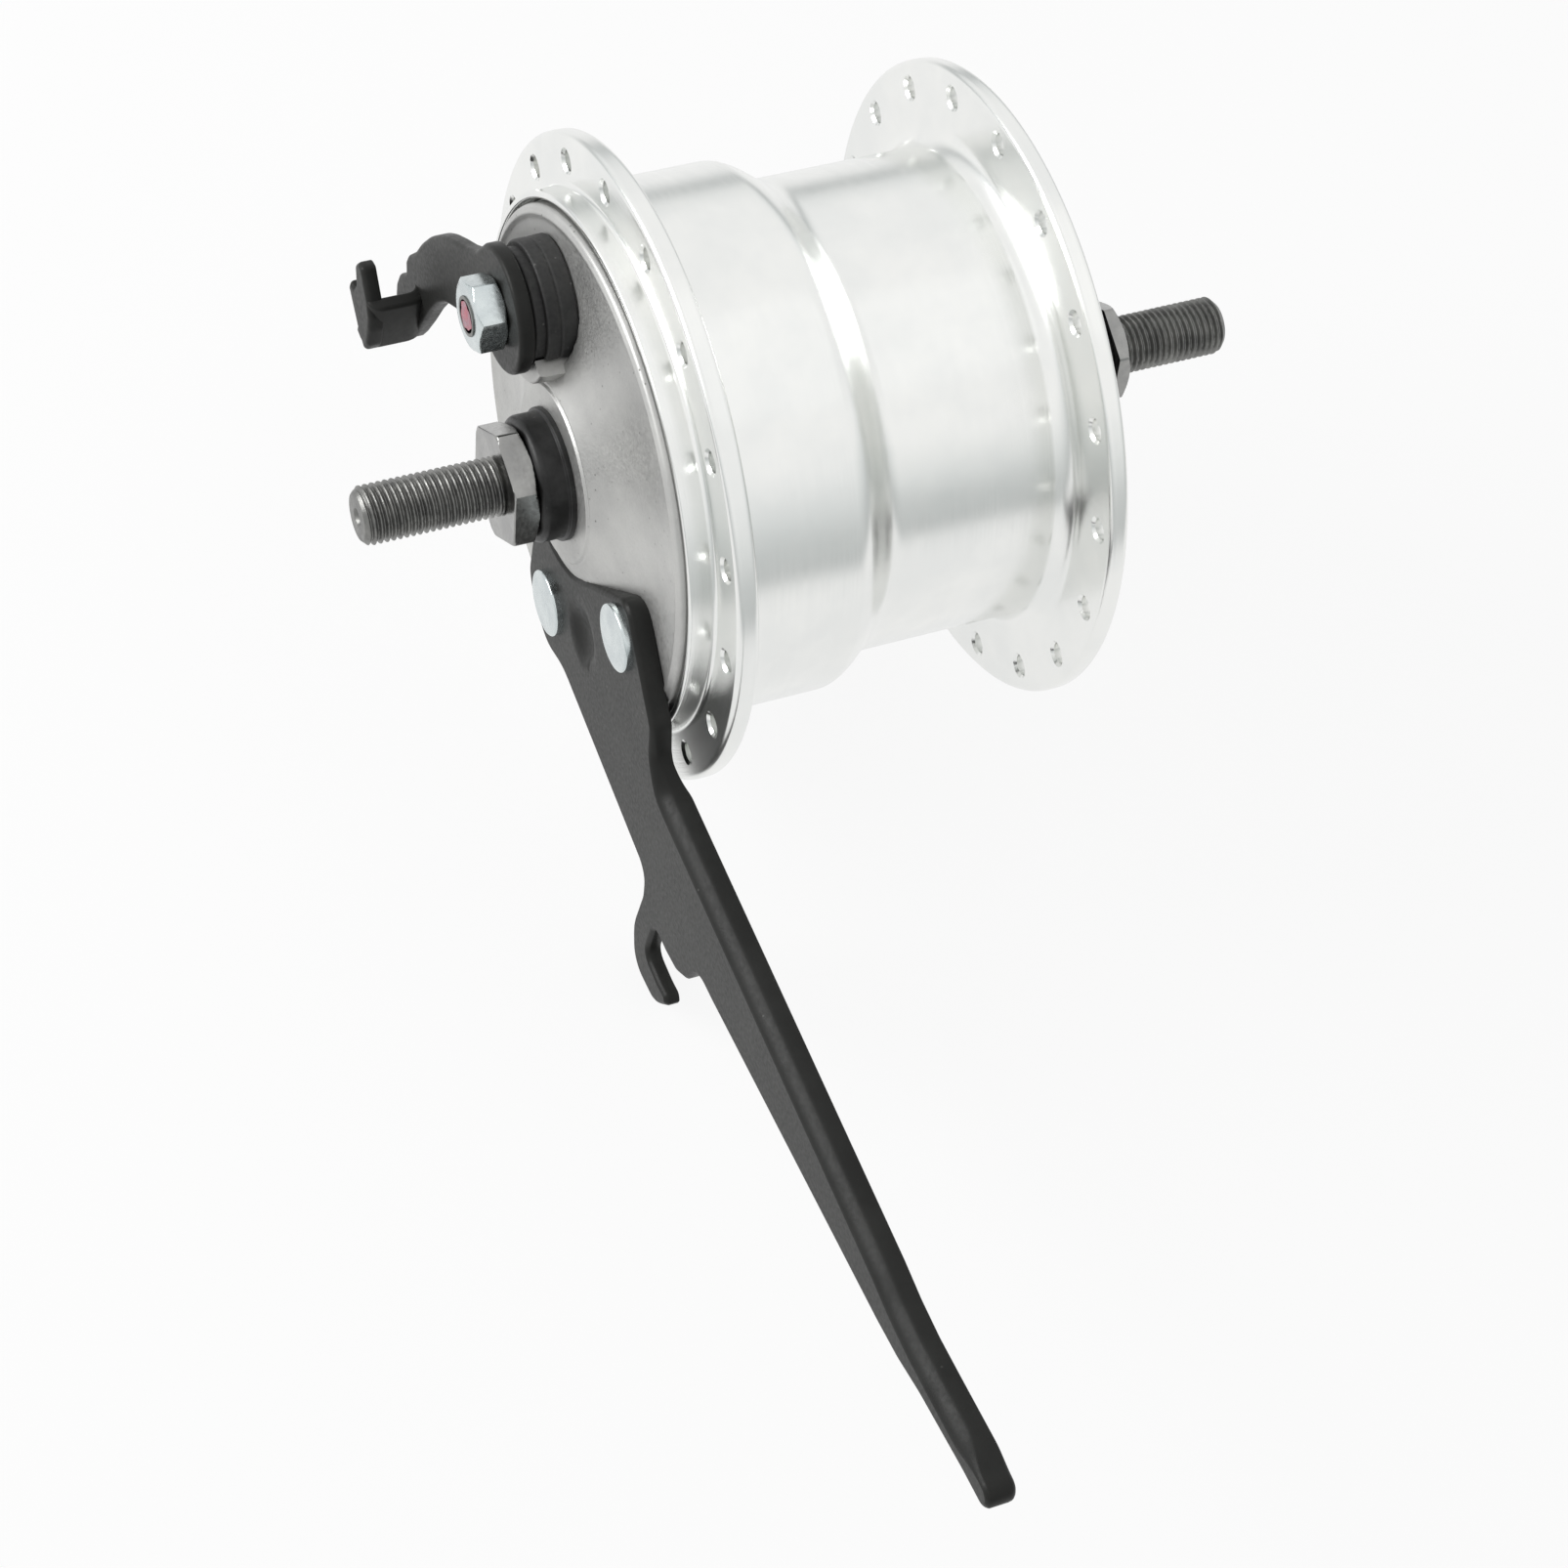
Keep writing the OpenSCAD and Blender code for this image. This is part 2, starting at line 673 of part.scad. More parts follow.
// Head of the arm, grown by g along the edges that lie in the plate
function arm_head(g) = concat(
    arc([0, 0], arm_hollow_r - g, -acos((head_left - g) / (arm_hollow_r - g)), hollow_end, 10),
    arc(corner_at, corner_r + g, corner_turn[0], corner_turn[1], 4),
    [shoulder_at + [g, g], shoulder_low, strip_root, [strip_root[0], head_floor - g]],
    [[foot_x, head_floor - g]],
    arc(toe_at, toe_r + g, toe_turn[0], toe_turn[1], 4),
    [toe_side - [g, 0], [head_left - g, side_z]]
);

// Long strip of the arm, drawn in by g on its two long edges
function arm_strip(x0, g) = [
    [x0, strip_root[1] - g],
    [kink_x - kink_run, kink_z + arm_kink_w / 2 - g],
    [kink_x, kink_z + arm_kink_w / 2 - g],
    [kink_x, kink_z - arm_kink_w / 2 + g],
    strip_low + [0, g],
    [x0, head_floor + g]
];

module arm_hook() {
    turn = [cos(hook_angle), sin(hook_angle)];
    side = [-turn[1], turn[0]];
    polygon(concat(
        [[strip_root[0], head_floor], strip_low, lip_at, lip_at - lip_cut],
        arc(hook_at, slot_r, 90 + hook_angle, 270 + hook_angle, 10),
        [hook_at - slot_r * side + hook_end * turn,
         hook_at - (slot_r + hook_nose) * side + (hook_end + hook_nose) * turn],
        arc(hook_mid, hook_r, hook_turn[0], hook_turn[1], 10),
        [[hook_mid[0] - hook_r + hook_neck[0], head_floor - hook_neck[1]],
         [hook_mid[0] - hook_r - hook_root, head_floor]]
    ));
}

// Pressed arm: head on the plate, a long strip with turned edges, a bent tip and a cable hook
module reaction_arm() {
    tip_pts = concat(
        [[kink_x - kink_lap, kink_z + arm_kink_w / 2]],
        arc(tip_at, arm_tip_w / 2, 90 + tip_angle, tip_angle - 90, 8),
        [[kink_x - kink_lap, kink_z - arm_kink_w / 2]]
    );
    color("#4d4d4a") difference() {
        union() {
            slab(arm_y0, y_face) polygon(arm_head(0));
            slab(arm_y0, arm_y1) polygon(arm_strip(strip_root[0], 0));
            slab(arm_y0, arm_y1) polygon(tip_pts);
            slab(arm_y0, arm_y0 + hook_t) arm_hook();
        }
        slab(y_face, arm_y1 + cut_over) polygon(arm_strip(strip_root[0] + arm_edge_w, arm_edge_w));
        for (p = rivets_at) at(p) bar(rivet_d / 2 + seat_gap, arm_y0 - cut_over, y_face + cut_over);
        at(anchor_at) translate([0, arm_y0 + dish_depth - dish_sphere_r, 0]) sphere(dish_sphere_r);
    }
}

module arm_rivets() {
    head_r = rivet_head_d / 2;
    y_head = arm_y0 - rivet_head_h;
    y_tail = y_inner + rivet_tail_h;
    profile = [
        [0, y_head], [head_r - rivet_edge, y_head], [head_r, y_head + rivet_edge], [head_r, arm_y0],
        [rivet_d / 2, arm_y0], [rivet_d / 2, y_inner], [rivet_tail_r, y_inner],
        [rivet_tail_r, y_tail - rivet_tail_edge], [rivet_tail_r - rivet_tail_edge, y_tail], [0, y_tail]
    ];
    color("#c6cdca") for (p = rivets_at) at(p) lathe(profile);
}

module anchor_pin() {
    color("#8a8c8a") at(anchor_at) bar(anchor_pin_r, y_face, y_shoe1 + pin_over);
}

module cam_bush() {
    color("#a8814a") at(cam_at) tube(spindle_r + run_gap, bush_r, y_boss, y_boss_in);
}

// Rubber boot: a skirt round the boss, cut away towards the axle, and a collar behind the lever
module cam_boot() {
    skirt_y = y_face - plate_play;
    y_disc = y_boss - boot_disc_t;
    color("#202020") at(cam_at) {
        slab(y_disc, skirt_y) difference() {
            circle(boot_r);
            circle(boot_collar_r);
            wedge(boot_r, brake_angle + 180 - boot_cut, brake_angle + 180 + boot_cut);
        }
        tube(spindle_r + move_gap, boot_collar_r + boot_inner, y_disc, y_boss);
        tube(spindle_r + move_gap, boot_collar_r, y_boot, y_disc);
    }
}

module left_sleeve() {
    color("#8f9290") tube(body_r + seat_gap, sleeve_r, y_body0, left_bearing - bearing_w / 2);
}

// Race turned from a ring, with the groove that the balls run in
module race(r0, r1, y) {
    difference() {
        tube(r0, r1, y - bearing_w / 2, y + bearing_w / 2);
        translate([0, y, 0]) rotate([-90, 0, 0]) rotate_extrude()
            translate([ball_pitch_r, 0]) circle(groove_r);
    }
}

module inner_race(y) {
    color("#b6b9ba") race(body_r + seat_gap, body_r + seat_gap + race_h, y);
}

module outer_race(y) {
    color("#b6b9ba") race(bearing_od / 2 - race_h, bearing_od / 2, y);
}

// Two thin rings that close a bearing, fast in its outer race
module shields(y) {
    inner_r = body_r + seat_gap + race_h + move_gap;
    outer_r = bearing_od / 2 - race_h;
    color("#3a3a3c") for (s = [-1, 1]) {
        y_mid = y + s * (bearing_w / 2 - shield_set - shield_t / 2);
        tube(inner_r, outer_r, y_mid - shield_t / 2, y_mid + shield_t / 2);
    }
}

module balls(y) {
    color("#d4d7d8") for (i = [0:ball_count - 1]) rotate([0, 360 * i / ball_count, 0])
        translate([ball_pitch_r, y, 0]) sphere(ball_r);
}

module cage(y) {
    color("#a98d55") difference() {
        tube(ball_pitch_r - cage_half, ball_pitch_r + cage_half, y - cage_half_w, y + cage_half_w);
        for (i = [0:ball_count - 1]) rotate([0, 360 * i / ball_count, 0])
            translate([ball_pitch_r, y, 0]) rotate([0, 90, 0])
                cylinder(r = groove_r, h = 4 * cage_half, center = true);
    }
}

module left_stator_spacer() {
    color("#8f9290") tube(body_r + seat_gap, sleeve_r, left_bearing + bearing_w / 2, y_stator0);
}

module stator_core() {
    color("#5d5f61") tube(body_r + seat_gap, core_d / 2, y_stator0, y_stator1);
}

// Pole disc with its ring of fingers, which reach across to the other disc
module claw_pole(y0, y1, phase) {
    pitch = 360 / pole_pairs;
    finger = pitch / 2 * finger_share;
    difference() {
        union() {
            tube(core_d / 2 + seat_gap, disc_r + finger_root, y0, y1);
            for (i = [0:pole_pairs - 1]) slab(y_stator0, y_stator1) intersection() {
                difference() {
                    circle(stator_r);
                    circle(disc_r + finger_root);
                }
                wedge(stator_r, phase + i * pitch - finger / 2, phase + i * pitch + finger / 2);
            }
        }
        children();
    }
}

// Slot at -X that the two leads pass through
module lead_slot(y0, y1) {
    translate([-lead_coil_r - lead_d, y0, -lead_slot_w / 2])
        cube([lead_coil_r + lead_d - core_d / 2 + cut_over, y1 - y0, lead_slot_w]);
}

module left_claw_pole() {
    color("#6a6c6e") claw_pole(y_stator0, y_stator0 + claw_t, 0);
}

module right_claw_pole() {
    color("#6a6c6e") claw_pole(y_stator1 - claw_t, y_stator1, 180 / pole_pairs)
        lead_slot(y_stator1 - claw_t - cut_over, y_stator1 + cut_over);
}

module coil_bobbin() {
    core = core_d / 2 + seat_gap;
    color("#33383c") difference() {
        lathe([
            [core, bobbin_y0], [bobbin_r1, bobbin_y0], [bobbin_r1, bobbin_y0 + bobbin_wall],
            [coil_r0, bobbin_y0 + bobbin_wall], [coil_r0, bobbin_y1 - bobbin_wall],
            [bobbin_r1, bobbin_y1 - bobbin_wall], [bobbin_r1, bobbin_y1], [core, bobbin_y1]
        ]);
        translate([-lead_coil_r - lead_d, bobbin_y1 - bobbin_wall - seat_gap, -lead_slot_w / 2])
            cube([2 * lead_d, bobbin_wall + cut_over, lead_slot_w]);
    }
}

module coil_winding() {
    coil_r1 = bobbin_r1 - winding_set;
    color("#9c5a2c") tube(coil_r0 + seat_gap, coil_r1, bobbin_y0 + bobbin_wall, bobbin_y1 - bobbin_wall);
}

// Round wire through a list of points
module wire(points, r) {
    for (i = [0:len(points) - 2]) {
        way = points[i + 1] - points[i];
        translate(points[i]) rotate([0, acos(way[2] / norm(way)), atan2(way[1], way[0])])
            cylinder(r = r, h = norm(way));
    }
    for (i = [1:len(points) - 2]) translate(points[i]) sphere(r);
}

// Two leads from the coil, along the groove in the axle to the blades
module coil_leads() {
    color("#7d2f2a") for (s = [-1, 1]) wire([
        [-lead_coil_r, bobbin_y1 - bobbin_wall, s * lead_gap], [-lead_coil_r, y_lead_turn, s * lead_gap],
        [-lead_x, y_lead_turn, s * lead_gap], [-lead_x, y_lead_end, s * lead_gap],
        [-blade_root + lead_d / 2, y_lead_end, s * blade_pitch / 2]
    ], lead_d / 2);
}

module right_stator_spacer() {
    color("#8f9290") difference() {
        tube(body_r + seat_gap, sleeve_r, y_stator1, right_bearing - bearing_w / 2);
        translate([-sleeve_r - cut_over, y_stator1 - cut_over, -lead_slot_w / 2])
            cube([sleeve_r - body_r + 2 * cut_over, lead_turn + lead_d + cut_over, lead_slot_w]);
    }
}

module right_sleeve() {
    color("#8f9290") tube(body_r + seat_gap, sleeve_r, right_bearing + bearing_w / 2, y_body1);
}

// One blade of the connector, grown by g
module blade(s, g) {
    z_low = s * blade_pitch / 2 - blade_t / 2 - g;
    translate([blade_set - connector_reach, y_blade - blade_w / 2 - g, z_low])
        cube([connector_reach - blade_set - blade_root, blade_w + 2 * g, blade_t + 2 * g]);
}

// Ring on the axle with a socket that opens towards -X
module connector_housing() {
    outer_w = socket_w + 2 * connector_wall;
    pocket_w = blade_pitch + 2 * lead_d;
    color("#26282a") difference() {
        union() {
            bar(connector_ring_d / 2, y_body1, y_right_washer);
            translate([-connector_reach, y_body1, -outer_w / 2])
                cube([connector_reach, connector_t, outer_w]);
        }
        bar(axle_r + seat_gap, y_body1 - cut_over, y_right_washer + cut_over);
        translate([-connector_reach - cut_over, y_socket0, -socket_w / 2])
            cube([socket_depth + cut_over, y_socket1 - y_socket0, socket_w]);
        translate([-blade_root - pocket_play, y_body1 - cut_over, -pocket_w / 2])
            cube([blade_root + pocket_play, lead_end + lead_d / 2 + move_gap + cut_over, pocket_w]);
        for (s = [-1, 1]) blade(s, seat_gap);
    }
}

module terminal_blades() {
    color("#c9b27a") for (s = [-1, 1]) blade(s, 0);
}

module right_washer() {
    color("#3c3d3c") tube(axle_r + seat_gap, right_washer_d / 2, y_right_washer, y_right_nut);
}

module right_locknut() {
    color("#9b9d9b") hex_nut(right_nut_af, core_r + seat_gap, y_right_nut, y_right_face, 1, right_nut_cut);
}

// Ring of spoke holes through one flange
module spoke_holes(y, t, phase) {
    for (i = [0:spoke_count - 1]) {
        a = phase + 360 * i / spoke_count;
        at(spoke_r * [cos(a), sin(a)]) bar(spoke_hole_d / 2, y - t, y + t);
    }
}

// Edge of a flange, rounded on both sides
function flange_rim(y0, y1) = concat(
    arc([flange_r - flange_edge, y0 + flange_edge], flange_edge, -90, 0, 4),
    arc([flange_r - flange_edge, y1 - flange_edge], flange_edge, 0, 90, 4)
);

// Polished shell: lip, left flange, drum, rounded shoulder, dynamo barrel and right flange
module hub_shell() {
    shoulder_steps = 8;
    step_h = shell_drum_r - shell_dynamo_r;
    shoulder = [for (i = [0:shoulder_steps]) let (k = i / shoulder_steps)
        [shell_dynamo_r + step_h * (1 + cos(180 * k)) / 2, y_shoulder0 + shoulder_len * k]];
    outer = concat(
        [[lip_r0, y_lip], [lip_r1, y_lip]],
        arc([lip_r1 + lip_fillet, y_left_flange0 - lip_fillet], lip_fillet, 180, 90, 4),
        flange_rim(y_left_flange0, y_left_flange1),
        arc([shell_drum_r + flange_root, y_left_flange1 + flange_root], flange_root, -90, -180, 3),
        shoulder,
        arc([shell_dynamo_r + flange_fillet, y_right_flange0 - flange_fillet], flange_fillet, 180, 90, 5),
        flange_rim(y_right_flange0, y_right_flange1),
        [[collar_r, y_right_flange1], [collar_r, y_shell1]]
    );
    housing_r = bearing_bore_r + seat_wall;
    inner = [
        [dynamo_bore_r, y_shell1], [dynamo_bore_r, y_web1], [housing_r, y_web1], [housing_r, y_housing1],
        [bearing_bore_r, y_housing1], [bearing_bore_r, y_housing0 + lip_t],
        [bearing_bore_r - bearing_lip, y_housing0 + lip_t], [bearing_bore_r - bearing_lip, y_housing0],
        [housing_r, y_housing0], [housing_r, y_web0], [liner_r + seat_gap, y_web0],
        [liner_r + seat_gap, y_mouth], [lip_r0, y_mouth]
    ];
    color("#e2e3e0") difference() {
        lathe(concat(outer, inner));
        spoke_holes(left_flange_y, left_flange_t, left_phase);
        spoke_holes(right_flange_y, right_flange_t, right_phase);
    }
}

module drum_liner() {
    color("#77787a") tube(drum_r, liner_r, y_liner0, y_liner1);
}

module rotor_yoke() {
    color("#66686a") tube(magnet_r1 + seat_gap, yoke_r1, y_magnet0, y_magnet1);
}

module rotor_magnets() {
    pitch = 180 / pole_pairs;
    color("#3f4144") for (i = [0:2 * pole_pairs - 1])
        slab(y_magnet0, y_magnet1) intersection() {
            difference() {
                circle(magnet_r1);
                circle(magnet_r0);
            }
            wedge(magnet_r1, i * pitch + magnet_gap, (i + 1) * pitch - magnet_gap);
        }
}

// Dished cover that closes the dynamo and carries the right bearing
module end_cover() {
    spigot_r = dynamo_bore_r - seat_gap;
    housing_r = bearing_bore_r + seat_wall;
    y_rim = y_shell1 + cover_lip_t;
    y_dish = y_cover1 + lip_t;
    y_back = right_bearing - bearing_w / 2 - housing_edge;
    color("#d9dad7") difference() {
        lathe([
            [spigot_r - spigot_wall, y_shell1 - spigot_len], [spigot_r, y_shell1 - spigot_len],
            [spigot_r, y_shell1], [cover_lip_r, y_shell1], [cover_lip_r, y_rim],
            [cover_lip_r - cover_edge[0], y_rim + cover_edge[1]],
            [housing_r + cover_crown[0], y_dish - cover_crown[1]], [housing_r, y_dish],
            [bearing_bore_r - bearing_lip, y_dish],
            [bearing_bore_r - bearing_lip, y_cover1], [bearing_bore_r, y_cover1], [bearing_bore_r, y_back],
            [housing_r, y_back], [housing_r, y_dish - cover_fall - cover_t],
            [spigot_r - spigot_wall, y_rim - cover_t]
        ]);
        for (i = [0:spanner_holes - 1]) rotate([0, spanner_phase + 360 * i / spanner_holes, 0])
            at([spanner_hole_r, 0]) bar(spanner_hole_d / 2, y_shell1 - spigot_len, y_dish + cut_over);
    }
}

// Spindle with the cam at its inner end and a flatted, threaded outer end
module cam_spindle() {
    y_stud = y_lever0 - lever_nut_t - stud_over;
    color("#9a9c9a") at(cam_at) {
        bar(spindle_r, y_lever1, y_boss_in + cam_shoulder);
        slab(y_lever0, y_lever1) stud_section(0);
        bar(stud_r, y_stud, y_lever0);
        slab(y_boss_in + cam_shoulder, y_shoe1) intersection() {
            circle(spindle_r);
            rotate(brake_angle) square([2 * spindle_r, cam_t], center = true);
        }
    }
}

// Round section with two flats, grown by g
module stud_section(g) {
    intersection() {
        circle(stud_r + g);
        square([4 * stud_r, 2 * (stud_flat + g)], center = true);
    }
}

// Lever pressed from plate: a boss, a curved arm, and a fork of two notched ears
module brake_lever() {
    color("#434441") at(cam_at) {
        slab(y_lever0, y_lever1) difference() {
            union() {
                circle(lever_boss_r);
                polygon(lever_arm);
            }
            stud_section(seat_gap);
        }
        slab(y_ear1, y_lever0) translate([fork_web_x - lever_t, fork_web_z[0]])
            square([lever_t, fork_web_z[1] - fork_web_z[0]]);
        slab(y_ear0, y_ear1) polygon(near_ear);
    }
}

module lever_nut() {
    color("#cfd8d6") at(cam_at)
        hex_nut(lever_nut_af, stud_r + seat_gap, y_lever0 - lever_nut_t, y_lever0, -1, nut_cut);
}

// Ring sector of a shoe between two angles from the brake line
module shoe_ring(r0, r1, sweep) {
    intersection() {
        difference() {
            circle(r1);
            circle(r0);
        }
        wedge(r1, 90 - sweep / 2, 90 + sweep / 2);
    }
}

// Turns an outline in u and v into the brake's place, on the +v or the -v side
module on_side(side) {
    rotate(brake_angle) mirror([0, side < 0 ? 1 : 0]) children();
}

// Shoe drawn on the +v side: a web that sits on the anchor pin and the cam, and a wide rim
module shoe(side) {
    far = 2 * drum_r;
    rim_sweep = lining_sweep + rim_more;
    slab(y_shoe_mid - shoe_web_t / 2, y_shoe_mid + shoe_web_t / 2) on_side(side) difference() {
        intersection() {
            difference() {
                circle(lining_r0 - shoe_rim_t / 2);
                circle(shoe_r0);
            }
            polygon([
                [-far, move_gap], [0, move_gap], [0, shoe_flat], [far, shoe_flat], [far, far], [-far, far]
            ]);
        }
        translate([-anchor_r, 0]) circle(anchor_pin_r + run_gap);
        translate([spring_u, spring_v - spring_play]) circle(spring_hole_r);
    }
    slab(y_shoe0, y_shoe1) on_side(side) shoe_ring(lining_r0 - shoe_rim_t, lining_r0, rim_sweep);
}

module lining(side) {
    color("#4a3b30") slab(y_shoe0, y_shoe1) on_side(side) shoe_ring(lining_r0, lining_r1, lining_sweep);
}

module upper_shoe() {
    color("#a3a5a4") shoe(-1);
}

module upper_lining() {
    lining(-1);
}

module lower_shoe() {
    color("#a3a5a4") shoe(1);
}

module lower_lining() {
    lining(1);
}

// Return spring across the two shoes, drawn as its outer shape with a hook into each web
module shoe_spring() {
    wire_r = spring_wire / 2;
    hook_y = y_shoe_mid + shoe_web_t / 2 - hook_set;
    color("#8f9192") rotate([0, -brake_angle, 0]) {
        translate([spring_u, y_spring, -spring_half]) cylinder(r = spring_d / 2, h = 2 * spring_half);
        for (s = [-1, 1]) wire([
            [spring_u, y_spring, s * spring_half], [spring_u, y_spring, s * spring_v],
            [spring_u, hook_y, s * spring_v]
        ], wire_r);
    }
}

axle();
left_locknut();
left_spacer();
brake_plate();
reaction_arm();
arm_rivets();
anchor_pin();
cam_bush();
cam_boot();
left_sleeve();
inner_race(left_bearing);  // left_inner_race
left_stator_spacer();
stator_core();
left_claw_pole();
right_claw_pole();
coil_bobbin();
coil_winding();
coil_leads();
right_stator_spacer();
inner_race(right_bearing);  // right_inner_race
right_sleeve();
connector_housing();
terminal_blades();
right_washer();
right_locknut();
hub_shell();
drum_liner();
outer_race(left_bearing);  // left_outer_race
shields(left_bearing);  // left_shields
outer_race(right_bearing);  // right_outer_race
shields(right_bearing);  // right_shields
rotor_yoke();
rotor_magnets();
end_cover();
balls(left_bearing);  // left_balls
cage(left_bearing);  // left_cage
balls(right_bearing);  // right_balls
cage(right_bearing);  // right_cage
cam_spindle();
brake_lever();
lever_nut();
upper_shoe();
upper_lining();
lower_shoe();
lower_lining();
shoe_spring();
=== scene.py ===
import json
import math
import bmesh
import bpy
import numpy as np
from mathutils import Matrix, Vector
from mathutils.geometry import delaunay_2d_cdt


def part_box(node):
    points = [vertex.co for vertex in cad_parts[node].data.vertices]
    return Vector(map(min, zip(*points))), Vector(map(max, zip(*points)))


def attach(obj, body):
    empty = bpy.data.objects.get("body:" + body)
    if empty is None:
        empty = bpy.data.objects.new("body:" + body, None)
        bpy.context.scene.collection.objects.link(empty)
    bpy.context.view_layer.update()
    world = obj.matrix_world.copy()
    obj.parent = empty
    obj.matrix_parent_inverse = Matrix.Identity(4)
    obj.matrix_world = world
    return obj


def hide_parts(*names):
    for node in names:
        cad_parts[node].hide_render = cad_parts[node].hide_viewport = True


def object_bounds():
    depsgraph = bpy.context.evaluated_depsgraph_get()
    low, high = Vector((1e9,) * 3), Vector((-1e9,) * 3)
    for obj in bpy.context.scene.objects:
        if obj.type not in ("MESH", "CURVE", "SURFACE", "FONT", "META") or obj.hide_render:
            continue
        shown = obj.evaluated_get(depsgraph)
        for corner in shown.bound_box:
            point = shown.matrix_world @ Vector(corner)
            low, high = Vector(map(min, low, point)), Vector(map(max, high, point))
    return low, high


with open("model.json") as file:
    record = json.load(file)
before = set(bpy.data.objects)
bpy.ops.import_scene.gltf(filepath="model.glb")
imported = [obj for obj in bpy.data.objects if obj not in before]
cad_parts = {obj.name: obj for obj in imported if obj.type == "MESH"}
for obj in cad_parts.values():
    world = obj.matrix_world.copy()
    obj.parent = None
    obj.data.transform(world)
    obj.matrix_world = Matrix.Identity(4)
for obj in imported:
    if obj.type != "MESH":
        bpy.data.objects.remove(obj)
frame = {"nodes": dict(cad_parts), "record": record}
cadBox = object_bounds()
mm = 0.001  # all sizes below are in millimetres


def ends(node):  # lowest and highest corner of a CAD node
    low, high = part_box(node)
    return np.array(low) / mm, np.array(high) / mm


def yEnds(node):  # lowest and highest Y of a CAD node
    low, high = ends(node)
    return low[1], high[1]


def jointAt(name):  # where a joint's axis crosses the X and Z plane
    joint = next(j for j in frame["record"]["behaviour"]["joints"] if j["name"] == name)
    return np.array([joint["pos_m"][0], joint["pos_m"][2]]) / mm


camAt = jointAt("lever_pull")
camTurn = math.degrees(math.atan2(camAt[1], camAt[0]))
anchorAt = jointAt("upper_shoe_open")
yLeftNut = yEnds("left_locknut")[0]
ySpacer, yPad = yEnds("left_spacer")
yArm, yArmBack = yEnds("reaction_arm")
yLever, yLeverBack = yEnds("brake_lever")
yLeverNut, yLeverNutBack = yEnds("lever_nut")
yRightNut, yRightNutFace = yEnds("right_locknut")
plateFace = yEnds("anchor_pin")[0]
print("places taken from the frame: cam", camAt.round(2), "arm face", round(yArm, 2))


# Each corner becomes an arc of its radius, tangent to both sides: centre on the bisector, r / sin(half) away
def roundCorners(points, radius, closed=True, steps=6):
    p = np.array(points, float)
    radii = np.broadcast_to(np.array(radius, float), (len(p),))
    most = 0.49  # share of a side that one arc may take
    out = []
    for i in range(len(p)):
        if radii[i] <= 0 or (not closed and i in (0, len(p) - 1)):
            out.append(p[i])
            continue
        a, b = p[i - 1] - p[i], p[(i + 1) % len(p)] - p[i]
        lengthA, lengthB = np.linalg.norm(a), np.linalg.norm(b)
        a, b = a / lengthA, b / lengthB
        half = math.acos(np.clip(a @ b, -0.999999, 0.999999)) / 2
        cut = min(radii[i] / math.tan(half), most * lengthA, most * lengthB)
        r = cut * math.tan(half)
        middle = p[i] + (a + b) / np.linalg.norm(a + b) * r / math.sin(half)
        start = math.atan2(*(p[i] + a * cut - middle)[::-1])
        stop = math.atan2(*(p[i] + b * cut - middle)[::-1])
        swing = (stop - start + math.pi) % (2 * math.pi) - math.pi
        t = start + swing * np.linspace(0, 1, max(2, round(steps * abs(swing) * 2 / math.pi)) + 1)
        out.extend(middle + r * np.column_stack([np.cos(t), np.sin(t)]))
    return np.array(out)


def softened(corners, closed=True, steps=6):  # corners that each bring their own radius as a third number
    c = np.array(corners, float)
    return roundCorners(c[:, :2], c[:, 2], closed, steps)


def ringSection(rIn, rOut, yLow, yHigh, radius):  # the rectangle of a plain ring, with rounded corners
    return roundCorners([(rIn, yLow), (rOut, yLow), (rOut, yHigh), (rIn, yHigh)], radius)


# Puts a point close to both ends of every long side, which keeps the shading of flats flat
def holdEdges(p, closed=True, near=0.12):
    q = np.vstack([p, p[:1]]) if closed else p
    out = []
    for a, b in zip(q[:-1], q[1:]):
        out.append(a)
        length = np.linalg.norm(b - a)
        if length > 5 * near:
            out += [a + (b - a) * near / length, b - (b - a) * near / length]
    return np.array(out if closed else out + [q[-1]])


# Points at an even spacing along a closed outline
def evenly(p, spacing):
    q = np.vstack([p, p[:1]])
    run = np.concatenate([[0], np.cumsum(np.linalg.norm(np.diff(q, axis=0), axis=1))])
    t = np.linspace(0, run[-1], max(12, int(run[-1] / spacing)), endpoint=False)
    return np.column_stack([np.interp(t, run, q[:, 0]), np.interp(t, run, q[:, 1])])


# Quads of a grid of points: each cell joins its row to the next and its column to the next
def gridMesh(points, closeRows, closeCols):
    rows, cols = points.shape[:2]
    i = np.arange(rows * cols).reshape(rows, cols)
    quads = np.stack([i, np.roll(i, -1, 1), np.roll(np.roll(i, -1, 0), -1, 1), np.roll(i, -1, 0)], -1)
    quads = quads if closeRows else quads[:-1]
    quads = quads if closeCols else quads[:, :-1]
    return points.reshape(-1, 3), quads.reshape(-1, 4).tolist()


# Points at radius r, height y and angle a about a line along Y: x = r cos(a), z = r sin(a)
def around(r, y, a, centre=(0, 0)):
    r, y, a = np.broadcast_arrays(r, y, a)
    return np.stack([centre[0] + r * np.cos(a), y, centre[1] + r * np.sin(a)], -1)


def wholeTurn(columns):  # even angles round a whole turn
    return np.radians(np.arange(columns) * 360 / columns)


# Rows of a turned surface: each (radius, y) of a profile goes once round
def turnedRows(profile, columns, centre=(0, 0)):
    p = np.array(profile, float)
    return around(p[:, :1], p[:, 1:], wholeTurn(columns), centre)


